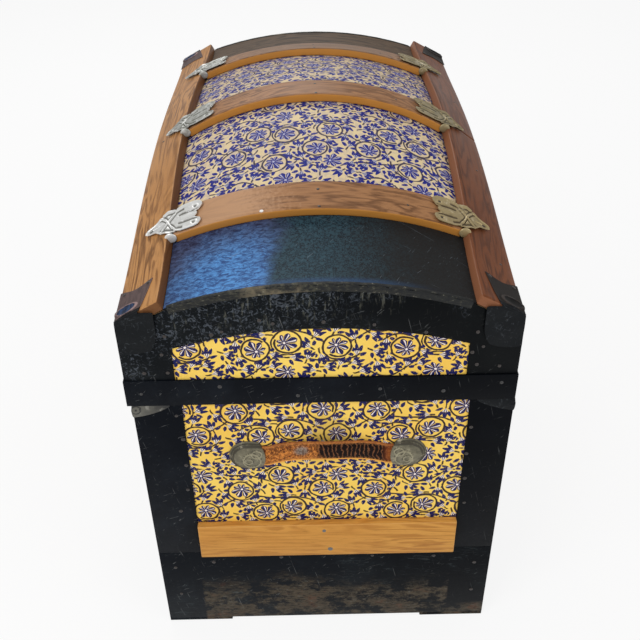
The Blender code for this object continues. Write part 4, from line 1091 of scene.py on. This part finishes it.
def cap_plate(end, side, wide, along):
    """A point of a corner cap's plate on the slat, with a round dish, and its relief."""
    off_middle = math.hypot((wide - 0.60) / 0.36, (along - 0.0395) / 0.0070)
    ring = ridge(abs(off_middle - 1.1), 0.22)
    bulge = ridge(off_middle / 1.3, 1.0)
    notch = 0.0065 * max(0.0, math.sin(wide * math.pi)) ** 1.5 * ridge(along, 0.016)
    x = HALF_LENGTH + CAP_PROUD - CAP_RUN + along + notch
    lift = CAP_SEAT + 0.0015 * bulge * (1 - bulge) * 2.4 + 0.0009 * ring
    inner = CAP_INNER - 0.0110 * (1 - along / CAP_RUN) ** 0.8
    place = on_slope(end * min(x, HALF_LENGTH), side, inner + (SLAT_REACH - inner) * wide, -SHEET)
    place += slope_up(HALF_LENGTH, side) * lift
    inside = ridge(off_middle, 1.0)
    dish = min(1.0, 0.5 + inside * 2.0) if inside else 0.0
    # The pale ring round the dish is marked for the material's painted highlight.
    pale = ridge(off_middle - 1.12, 0.22) * min(1.0, max(0.3, 1.3 - wide)) if off_middle > 0.9 else 0.0
    rim = max(ridge(wide, 0.09), ridge(along, 0.0028))
    return Vector((end * x, place.y, place.z)), max(dish, pale * 0.4, rim * 0.25)


def cap_tongue(end, side, wide, run):
    """A point of a corner cap past its plate: round the corner and down the lid's end."""
    out, drop, past = round_corner(run, CAP_PROUD)
    down = past / (CAP_DROP - CAP_PROUD * math.pi / 2)
    spread = min(down / 0.14, 1)
    inner = CAP_INNER - 0.0165 * spread * (1 - 0.5 * max(0.0, down - 0.6) ** 2 * 6)
    start = on_slat(end * HALF_LENGTH, side, inner + (SLAT_REACH - inner) * wide, CAP_SEAT)
    bottom = 0.500 + 0.006 * (1 - ridge(wide - 0.6, 0.65))
    z = start.z - drop
    x = HALF_LENGTH + out + 0.0004 * math.sin(down * 9 + wide * 5)
    edge = max(ridge(wide, 0.06), ridge(1 - down, 0.06)) * 0.8
    return Vector((end * x, start.y, z + (bottom - z) * down)), min(1.0, 0.12 + edge * 0.5)


def add_corner_caps():
    """A folded cap on each end of the edge slats: a plate on the slat, a rounded corner and a tongue."""
    for end_name, end in ENDS.items():
        for side_name, side in SIDES.items():
            def rule(u, v):
                wide, along = (u + 1) / 2, (v + 1) / 2 * (CAP_RUN + CAP_DROP)
                if along <= CAP_RUN:
                    place, relief = cap_plate(end, side, wide, along)
                else:
                    place, relief = cap_tongue(end, side, wide, along - CAP_RUN)
                fold = CAP_RUN - (0.0085 - 0.0030 * wide)
                return place, relief, held(0.5 + (fold - along) / 0.004)

            piece = shape_grid(f"corner_cap_{side_name}_{end_name}", 25, 61, rule, "relief", "plate")
            thicken(piece, UP, 0.0006)
            material = CAP_BROWN if side < 0 else CAP_BLACK
            complete(piece, "lid", "black_sheet", material, f"slat_end_cap_{side_name}_{end_name}", smooth=45)


# The chest's ends

HANDLE_Y = SHIFT + 0.0045
HANDLE_Z = 0.334
STRAP_HALF = 0.098
STRAP_THICK = 0.0034
HANDLE_CAP_PLACE = 0.0985
HANDLE_CAP_RADIUS = 0.0235


def strap_point(side, u, v):
    """A point of the handle's strap, raised and padded between its seams, and where it lies on it."""
    flat = min(abs(u) / 0.74, 1)
    stand = END_WALL + 0.0003 + 0.008 * (1 + math.cos(math.pi * flat)) / 2
    pad = 0.0016 * max(0.0, 1 - (abs(v) / 0.70) ** 4)
    groove = 0.0007 * ridge(abs(v) - 0.74, 0.07)
    crease = 0.0005 * math.sin(u * 74 + math.sin(u * 23) * 1.5) * ridge(v, 0.66)
    if abs(u) >= 0.62:
        crease *= 0.3
    height = 0.0156 - 0.0012 * ridge(u, 0.6)
    x = stand + STRAP_THICK + pad - groove + crease
    z = HANDLE_Z + 0.015 * (1 - flat ** 2) + height * v
    return Vector((side * x, HANDLE_Y + STRAP_HALF * u, z)), u, v


def add_handles():
    """A leather strap on each end, held by two cast caps."""
    for name, side in ENDS.items():
        piece = shape_grid("handle_leather_" + name, 97, 21,
                           lambda u, v: strap_point(side, u, v), "along", "across")
        thicken(piece, Vector((side, 0, 0)), STRAP_THICK)
        round_board(piece, 0.0009, 2, 60)
        complete(piece, "chest", "leather", LEATHER, "handle_strap_" + name, smooth=60)
        for end_name, end in SIDES.items():
            add_handle_cap(name, side, end_name, end)


def handle_cap_point(side, end, u, v):
    """A point of a handle's cap: u runs from the inner edge (-1) to the round outer end (1), v across."""
    radius = HANDLE_CAP_RADIUS
    inner_side = u <= -0.1
    if inner_side:
        width = radius * (1 - 0.10 * (u + 0.1) ** 2)
        y = (u + 0.1) / 0.9 * (0.0215 * math.sqrt(1 - 0.62 * v * v))
        z = v * width
        distance = abs(z) / width
    else:
        angle = (u + 0.1) / 1.1 * math.pi / 2
        y = math.sin(angle) * radius
        z = v * radius * (math.cos(angle) if u < 1 else 0.0)
        distance = math.hypot(max(y, 0.0), z) / radius
    scroll = 0.0
    if distance < 0.74:
        bow = math.hypot(y + 0.005, z * 0.9 + 0.003) - 0.0105
        tail = math.hypot(y + 0.011, z * 1.1 - 0.008) - 0.0060
        heart = math.hypot(y + 0.001, z + 0.004) - 0.0045
        scroll = max(ridge(bow, 0.0016), ridge(tail, 0.0015), ridge(heart, 0.0014))
    steps = 0.0022 * held((1.0 - distance) / 0.05) + 0.0022 * held((0.84 - distance) / 0.05)
    dome = max(0.0, 0.80 - distance) ** 0.5
    height = 0.0003 + steps + 0.0042 * dome + 0.0012 * scroll
    if inner_side:
        height *= 1 - 0.12 * ridge(u + 1, 0.25)
    groove = max(ridge(distance - 0.90, 0.045), ridge(distance - 0.775, 0.040),
                 ridge(abs(scroll - 0.35), 0.3) * 0.8)
    place = Vector((side * (END_WALL + height), HANDLE_Y + end * HANDLE_CAP_PLACE + end * y, HANDLE_Z + z))
    return place, held(0.28 + 0.08 * dome + 0.24 * scroll - 0.42 * groove)


def add_handle_cap(name, side, end_name, end):
    """A cast cap: two stepped rings round its outer end, and a domed cover with a scroll on it."""
    piece = shape_grid(f"handle_casting_{end_name}_{name}", 45, 49,
                       lambda u, v: handle_cap_point(side, end, u, v), "relief")
    turn_out(piece, Vector((side, 0, 0)), middle=True)
    edit_merged(piece, 0.00005)
    bpy.ops.mesh.select_all(action="DESELECT")
    bpy.ops.mesh.select_non_manifold(extend=False, use_boundary=True)
    bpy.ops.mesh.extrude_region_move()
    bpy.ops.object.mode_set(mode="OBJECT")
    for point in piece.data.vertices:
        if point.select:
            point.co.x = side * END_WALL
    complete(piece, "chest", "handle_cap", CAP_METAL, f"handle_cap_{end_name}_{name}", smooth=45)


def soften(node, material, body, slot, width=0.0008, segments=2):
    """A copy of a CAD piece with its flat faces cleaned and its edges eased."""
    piece = nodes[node].copy()
    piece.data = nodes[node].data.copy()
    bpy.context.scene.collection.objects.link(piece)
    piece.parent = None
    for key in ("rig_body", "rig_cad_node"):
        if key in piece:
            del piece[key]
    piece.name = node + "_finished"
    piece.data.name = piece.name
    edit_merged(piece, 0.00001)
    bpy.ops.mesh.dissolve_limited(angle_limit=math.radians(1))
    bpy.ops.object.mode_set(mode="OBJECT")
    round_edges(piece, width, segments, 30)
    mark(piece, "relief", 0.55)
    off_square = [1 - max(abs(part) for part in point.normal) ** 2 for point in piece.data.vertices]
    mark(piece, "worn_edge", [min(1.0, value * 2.2) for value in off_square])
    complete(piece, body, slot, material, node)


def soften_pieces():
    for end in ENDS:
        soften("end_slat_" + end, END_OAK, "chest", "end_oak", 0.0016, 3)
        for side in SIDES:
            soften(f"corner_strip_{side}_{end}", BLACK, "chest", "black_sheet", 0.0005)
        soften("hinge_leaf_chest_" + end, IRON, "chest", "iron", 0.0005)
        soften("hinge_leaf_lid_" + end, IRON, "lid", "iron", 0.0005)
        soften("lid_end_binding_" + end, ARCH_BLACK, "lid", "black_sheet", 0.0005)
    for side, oak in zip(SIDES, (HONEY_OAK, RED_OAK)):
        soften(side + "_rail", oak, "chest", "oak", 0.0016, 3)
        soften("runner_" + side, LOW_BLACK, "chest", "black_sheet")
        soften("tray_cleat_" + side, PINE, "chest", "pine", 0.0012)
    soften("bottom_binding", LOW_BLACK, "chest", "black_sheet", 0.0005)
    soften("lid_band", BLACK, "lid", "black_sheet", 0.0008, 3)
    soften("lock_housing", BRASS, "chest", "brass", 0.0010, 3)
    soften("hasp_plate", BRASS, "lid", "brass", 0.0006)
    soften("hasp", BRASS, "hasp", "brass", 0.0007, 3)
    soften("lock_bolt", IRON, "bolt", "iron", 0.0004)
    soften("tray_floor", PINE, "tray", "pine", 0.0006)
    soften("tray_frame", PINE, "tray", "pine", 0.0012)


# Nails and small fittings

# Places on an end, across and up it, in mm
STRIP_NAILS = [(-175, 403), (-171, 364), (-172, 319), (-174, 275), (-187, 235), (178, 375), (176, 330),
               (178, 286), (181, 240), (-153, 130), (148, 134), (-206, 120), (205, 118), (-204, 62),
               (206, 58), (-60, 138), (64, 137)]
ARCH_NAILS = [(-112, 528), (-124, 524), (-70, 543), (-55, 538), (1, 539), (57, 534), (115, 522), (173, 521),
              (181, 500), (169, 492), (-176, 523), (-182, 497), (-205, 470), (202, 471), (-178, 470),
              (176, 474)]
CLINCH_NAILS = [(-1, 201), (6.5, 164)]
BAND_NAILS = [(-212, 440), (-120, 449), (-30, 433), (66, 441), (140, 436), (207, 447)]
KEYHOLE_Z = 0.383
RIM_Z = 0.4205


def model_nail(radius, height):
    """One nail: a low round head on a short shank."""
    nail = add_primitive("nail", "cylinder", vertices=10, radius=radius,
                         depth=height * 0.4, location=(0, 0, height * 0.2))
    edit_faces(nail, UP)
    pull_faces(0, 0, height * 0.35)
    bpy.ops.transform.resize(value=(0.72, 0.72, 1))
    pull_faces(0, 0, height * 0.22)
    bpy.ops.transform.resize(value=(0.40, 0.40, 1))
    bpy.ops.object.mode_set(mode="OBJECT")
    mark(nail, "relief", 0.7)
    return nail


def set_nails(name, places, body, material, slot, radius=0.0028, height=0.0016):
    """Copies of one nail, each with its own mesh, at places that are each a point and the way out."""
    nail = model_nail(radius, height)
    copies = []
    for index, (place, out) in enumerate(places):
        copy = nail.copy()
        copy.data = nail.data.copy()
        bpy.context.scene.collection.objects.link(copy)
        lean = Vector((math.sin(index * 2.4), math.cos(index * 1.7), math.sin(index * 3.1))) * 0.12
        turn = (Vector(out) + lean).to_track_quat("Z", "Y")
        scale = 0.88 + 0.22 * abs(math.sin(index * 5.1))
        seat = Vector(place) - Vector(out) * 0.0003
        copy.matrix_world = Matrix.LocRotScale(seat, turn, Vector((scale, scale, scale)))
        copies.append(copy)
    bpy.data.objects.remove(nail)
    complete(join(name, copies), body, slot, material)


def grid_places(columns, y, rows, way):
    """Places in columns and rows on a long side, each with its way out along Y."""
    return [((x, y, z), (0, way, 0)) for x in columns for z in rows]


def end_nails(name, points, side, body, material, depth, *size):
    """Nails on an end, at points across and up it in mm."""
    places = [((side * (HALF_LENGTH + depth), SHIFT + y / 1000, z / 1000), (side, 0, 0)) for y, z in points]
    set_nails(name, places, body, material, "iron", *size)


def add_end_nails():
    for name, side in ENDS.items():
        end_nails("chest_nails_" + name, STRIP_NAILS, side, "chest", RUSTY, 0.0, 0.0026)
        end_nails("lid_nails_" + name, ARCH_NAILS, side, "lid", RUSTY, 0.0, 0.0023)
        end_nails("slat_nails_" + name, CLINCH_NAILS, side, "chest", NAIL, 0.009, 0.0034, 0.0012)
        end_nails("band_nails_" + name, BAND_NAILS, side, "lid", IRON, 0.0016, 0.0024)


def add_lid_nails():
    top = []
    for middle in SLAT_PLACES.values():
        for x, place in ((-0.0095, 0.004), (0.020, 0.011), (0.004, 0.60)):
            top.append((over_roof(middle + x, place, BENT_RISE), roof_out(place)))
    set_nails("slat_top_nails", top, "lid", IRON, "iron", 0.0021, 0.0008)
    pale = over_roof(SLAT_PLACES["right"] + 0.0205, -0.365, BENT_RISE)
    set_nails("pale_nail", [(pale, roof_out(-0.365))], "lid", WHITED, "iron", 0.0029)
    tabs = []
    for end in (-1, 1):
        for side in (-1, 1):
            up = slope_up(HALF_LENGTH, side)
            for wide in (0.10, 0.86):
                tabs.append((cap_plate(end, side, wide, 0.0045)[0] + up * 0.0001, up))
    set_nails("corner_cap_nails", tabs, "lid", RUSTY, "iron", 0.0024, 0.0012)


def add_side_nails():
    """Nails of the edge slats, of the long sides and their rails, and of the clamps."""
    for side_name, side in SIDES.items():
        columns = (-0.31, -0.12, 0.10, 0.30) if side > 0 else (-0.33, 0.005)
        slat = [(on_slat(x, side, 0.205), slope_up(x, side)) for x in columns]
        set_nails(f"edge_slat_nails_{side_name}", slat, "lid", IRON, "iron", 0.0022, 0.0008)
        binding_y = SHIFT + side * (STRIP_FACE + 0.0001)
        rows = grid_places((-0.345, -0.22, -0.09, 0.09, 0.22, 0.345), binding_y, (0.125,), side)
        rows += grid_places((-0.334, 0.334), SHIFT + side * STRIP_FACE, (0.165, 0.24, 0.31, 0.385), side)
        set_nails(f"long_side_nails_{side_name}", rows, "chest", IRON, "iron")
        rail = grid_places((-0.27, 0.0, 0.27), SHIFT + side * (STRIP_FACE + 0.009), (0.165, 0.199), side)
        set_nails(f"rail_nails_{side_name}", rail, "chest", NAIL, "iron", 0.0034, 0.0012)
        clamps = []
        for middle in SLAT_PLACES.values():
            for u, share in ((-0.62, 0.88), (0.62, 0.88), (0.0, 0.105)):
                seat, up = clamp_seat(middle, side, u, share)
                clamps.append((seat + up * 0.0012, up))
        material = NAIL if side < 0 else IRON
        set_nails(f"clamp_nails_{side_name}", clamps, "lid", material, "iron", 0.0021, 0.0013)


def off_curl(run, z):
    """How far a point of a corner clip lies off the line of its curl."""
    return abs(math.hypot(run - 0.004, z - 0.4145) - 0.0032)


def add_corner_clips():
    """A small folded clip under the band at each corner of the chest, with a curl at the corner."""
    for end_name, end in ENDS.items():
        for side_name, side in SIDES.items():
            def rule(u, v):
                run = u * (0.045 if u > 0 else 0.026)
                deep = 0.0165 * (1 - max(u, 0.0) ** 1.5) ** 0.8 * math.sqrt(1 - max(-u, 0.0) ** 2.6)
                z = RIM_Z - (1 - v) / 2 * (0.0012 + deep)
                swell = 0.0009 * ridge(v + 0.1, 1.0) * (1 - max(u, 0.0))
                out = 0.0006 + swell + 0.0008 * ridge(off_curl(run, z), 0.0015)
                x = HALF_LENGTH + out + min(run, 0.0)
                y = STRIP_FACE + out - max(run, 0.0)
                return Vector((end * x, SHIFT + side * y, z))

            piece = shape_grid(f"corner_clip_{side_name}_{end_name}", 49, 15, rule)
            heights = []
            for point in piece.data.vertices:
                run = STRIP_FACE - side * (point.co.y - SHIFT)
                curl = off_curl(run, point.co.z)
                curled = 0.5 * ridge(curl, 0.0014) - 0.6 * ridge(curl - 0.0024, 0.0012)
                heights.append(max(0.0, 0.65 - 12 * max(run, 0.0) + curled))
            mark(piece, "relief", heights)
            thicken(piece, Vector((end, side, 0)), 0.0006, middle=True)
            complete(piece, "chest", "black_sheet", CLIP_METAL if side < 0 else CAP_BLACK)


def add_disc(name, place, radius, depth, corners):
    """A round disc that faces the front."""
    return add_primitive(name, "cylinder", vertices=corners, radius=radius,
                         depth=depth, location=place, rotation=(math.pi / 2, 0, 0))


def add_keyhole():
    """The keyhole's cover on the hasp, with its raised rim, and the hole's shadow in it."""
    face = min(point.co.y for point in nodes["hasp"].data.vertices if point.co.z < 0.40)
    cover = add_disc("keyhole_cover", (0, face - 0.0004, KEYHOLE_Z), 0.015, 0.0012, 40)
    bpy.ops.object.transform_apply(location=True, rotation=True, scale=True)
    edit_faces(cover, Vector((0, -1, 0)))
    bpy.ops.mesh.inset(thickness=0.0022)
    pull_faces(0, 0.0006, 0)
    bpy.ops.mesh.inset(thickness=0.0070)
    pull_faces(0, -0.0009, 0)
    bpy.ops.object.mode_set(mode="OBJECT")
    reaches = [math.hypot(point.co.x, point.co.z - KEYHOLE_Z) for point in cover.data.vertices]
    mark(cover, "relief", [0.5 + 0.5 * ridge(reach - 0.013, 0.002) for reach in reaches])
    complete(cover, "hasp", "brass", BRASS)
    parts = [add_disc("keyhole", (0, face - 0.0012, KEYHOLE_Z + rise), radius, 0.0006, 20)
             for rise, radius in ((0.0035, 0.0024), (-0.0035, 0.0015))]
    hole = join("keyhole_shadow", parts)
    mark(hole, "relief", 0.0)
    complete(hole, "hasp", "iron", DARK)
    return face


def add_lock_details():
    """The keyhole's cover, and the rivets of the hasp, the lock and the hinges."""
    face = add_keyhole()
    rivets = [((x, face, z), (0, -1, 0)) for z in (0.418, 0.362) for x in (-0.016, 0.016)]
    set_nails("hasp_rivets", rivets, "hasp", BRASS, "brass", 0.0026, 0.0014)
    plate = SHIFT - 0.22425 - 0.0025
    rivets = grid_places((-0.033, 0.033), plate, (0.338, 0.374, 0.410), -1)
    set_nails("lock_rivets", rivets, "chest", BRASS, "brass", 0.0024, 0.0014)
    leaf = SHIFT + STRIP_FACE + 0.0023
    for name, middle in (("right", 0.125), ("left", -0.125)):
        for body, rows in (("chest", (0.394, 0.406)), ("lid", (0.436, 0.448))):
            rivets = grid_places((middle - 0.010, middle + 0.010), leaf, rows, 1)
            set_nails(f"hinge_rivets_{body}_{name}", rivets, body, NAIL, "iron", 0.0022, 0.0012)


add_bent_slats()
add_edge_slats()
add_roof_pieces()
add_clamps()
add_corner_caps()
add_handles()
soften_pieces()
add_corner_clips()
add_end_nails()
add_lid_nails()
add_side_nails()
add_lock_details()


# Floor, light and camera

FLOOR_WHITE = 0.86
WORLD_LIGHT = 0.62


def add_floor():
    floor = add_primitive("studio_floor", "plane", size=60.0, location=(0, 0, -0.0005))
    finish = Finish("studio_white", roughness=0.9)
    finish.join((FLOOR_WHITE, FLOOR_WHITE, FLOOR_WHITE, 1), finish.shader.inputs["Base Color"])
    path = finish.tree.nodes.new("ShaderNodeLightPath")
    rays = [Channel(finish, path.outputs[kind]) for kind in ("Is Camera Ray", "Is Glossy Ray")]
    glow = finish.tree.nodes.new("ShaderNodeEmission")
    mixer = finish.tree.nodes.new("ShaderNodeMixShader")
    finish.join(finish.larger(*rays) * FLOOR_WHITE, mixer.inputs[0])
    finish.tree.links.new(finish.shader.outputs[0], mixer.inputs[1])
    finish.tree.links.new(glow.outputs[0], mixer.inputs[2])
    finish.tree.links.new(mixer.outputs[0], finish.tree.nodes["Material Output"].inputs["Surface"])
    floor.data.materials.append(finish.material)


def add_lamp(name, place, aim, size, power):
    data = bpy.data.lights.new(name, "AREA")
    data.shape = "RECTANGLE"
    data.size, data.size_y = size
    data.energy = power
    lamp = bpy.data.objects.new(name, data)
    bpy.context.scene.collection.objects.link(lamp)
    lamp.location = place
    lamp.rotation_euler = (Vector(aim) - Vector(place)).to_track_quat("-Z", "Y").to_euler()


def light_scene():
    world = bpy.data.worlds.new("studio")
    bpy.context.scene.world = world
    world.use_nodes = True
    tree = world.node_tree
    tree.nodes.clear()
    output = tree.nodes.new("ShaderNodeOutputWorld")
    lit = tree.nodes.new("ShaderNodeBackground")
    lit.inputs["Strength"].default_value = WORLD_LIGHT
    shown = tree.nodes.new("ShaderNodeBackground")
    shown.inputs["Color"].default_value = (1, 1, 1, 1)
    path = tree.nodes.new("ShaderNodeLightPath")
    either = tree.nodes.new("ShaderNodeMixShader")
    tree.links.new(path.outputs["Is Camera Ray"], either.inputs[0])
    tree.links.new(lit.outputs[0], either.inputs[1])
    tree.links.new(shown.outputs[0], either.inputs[2])
    tree.links.new(either.outputs[0], output.inputs[0])
    add_lamp("key_softbox", (1.7, -1.3, 2.1), (0.1, 0, 0.35), (1.3, 1.3), 26)
    add_lamp("fill_softbox", (1.5, 1.7, 1.3), (0.1, 0, 0.35), (1.2, 1.2), 11)
    add_lamp("back_softbox", (-1.9, -0.4, 1.9), (0, 0, 0.5), (1.4, 1.0), 18)


def add_camera():
    """Stands at the photo's viewpoint, worked out from the trunk's edges."""
    yaw, pitch, roll = -0.0088, 0.6481, -0.0139
    place = Vector((1.1866, SHIFT - 0.0100, 1.1502))
    ahead = Vector((-math.cos(pitch) * math.cos(yaw), -math.cos(pitch) * math.sin(yaw), -math.sin(pitch)))
    level = ahead.cross(UP).normalized()
    above = level.cross(ahead)
    right = level * math.cos(roll) + above * math.sin(roll)
    top = above * math.cos(roll) - level * math.sin(roll)
    data = bpy.data.cameras.new("photo_view")
    data.sensor_width = 36.0
    data.lens = 51.586
    data.clip_start = 0.01
    camera = bpy.data.objects.new("photo_view", data)
    turn = Matrix((right, top, -ahead)).transposed().to_4x4()
    camera.matrix_world = Matrix.Translation(place) @ turn
    bpy.context.scene.collection.objects.link(camera)
    bpy.context.scene.camera = camera


add_floor()
light_scene()
add_camera()
bpy.context.scene.view_settings.view_transform = "Standard"
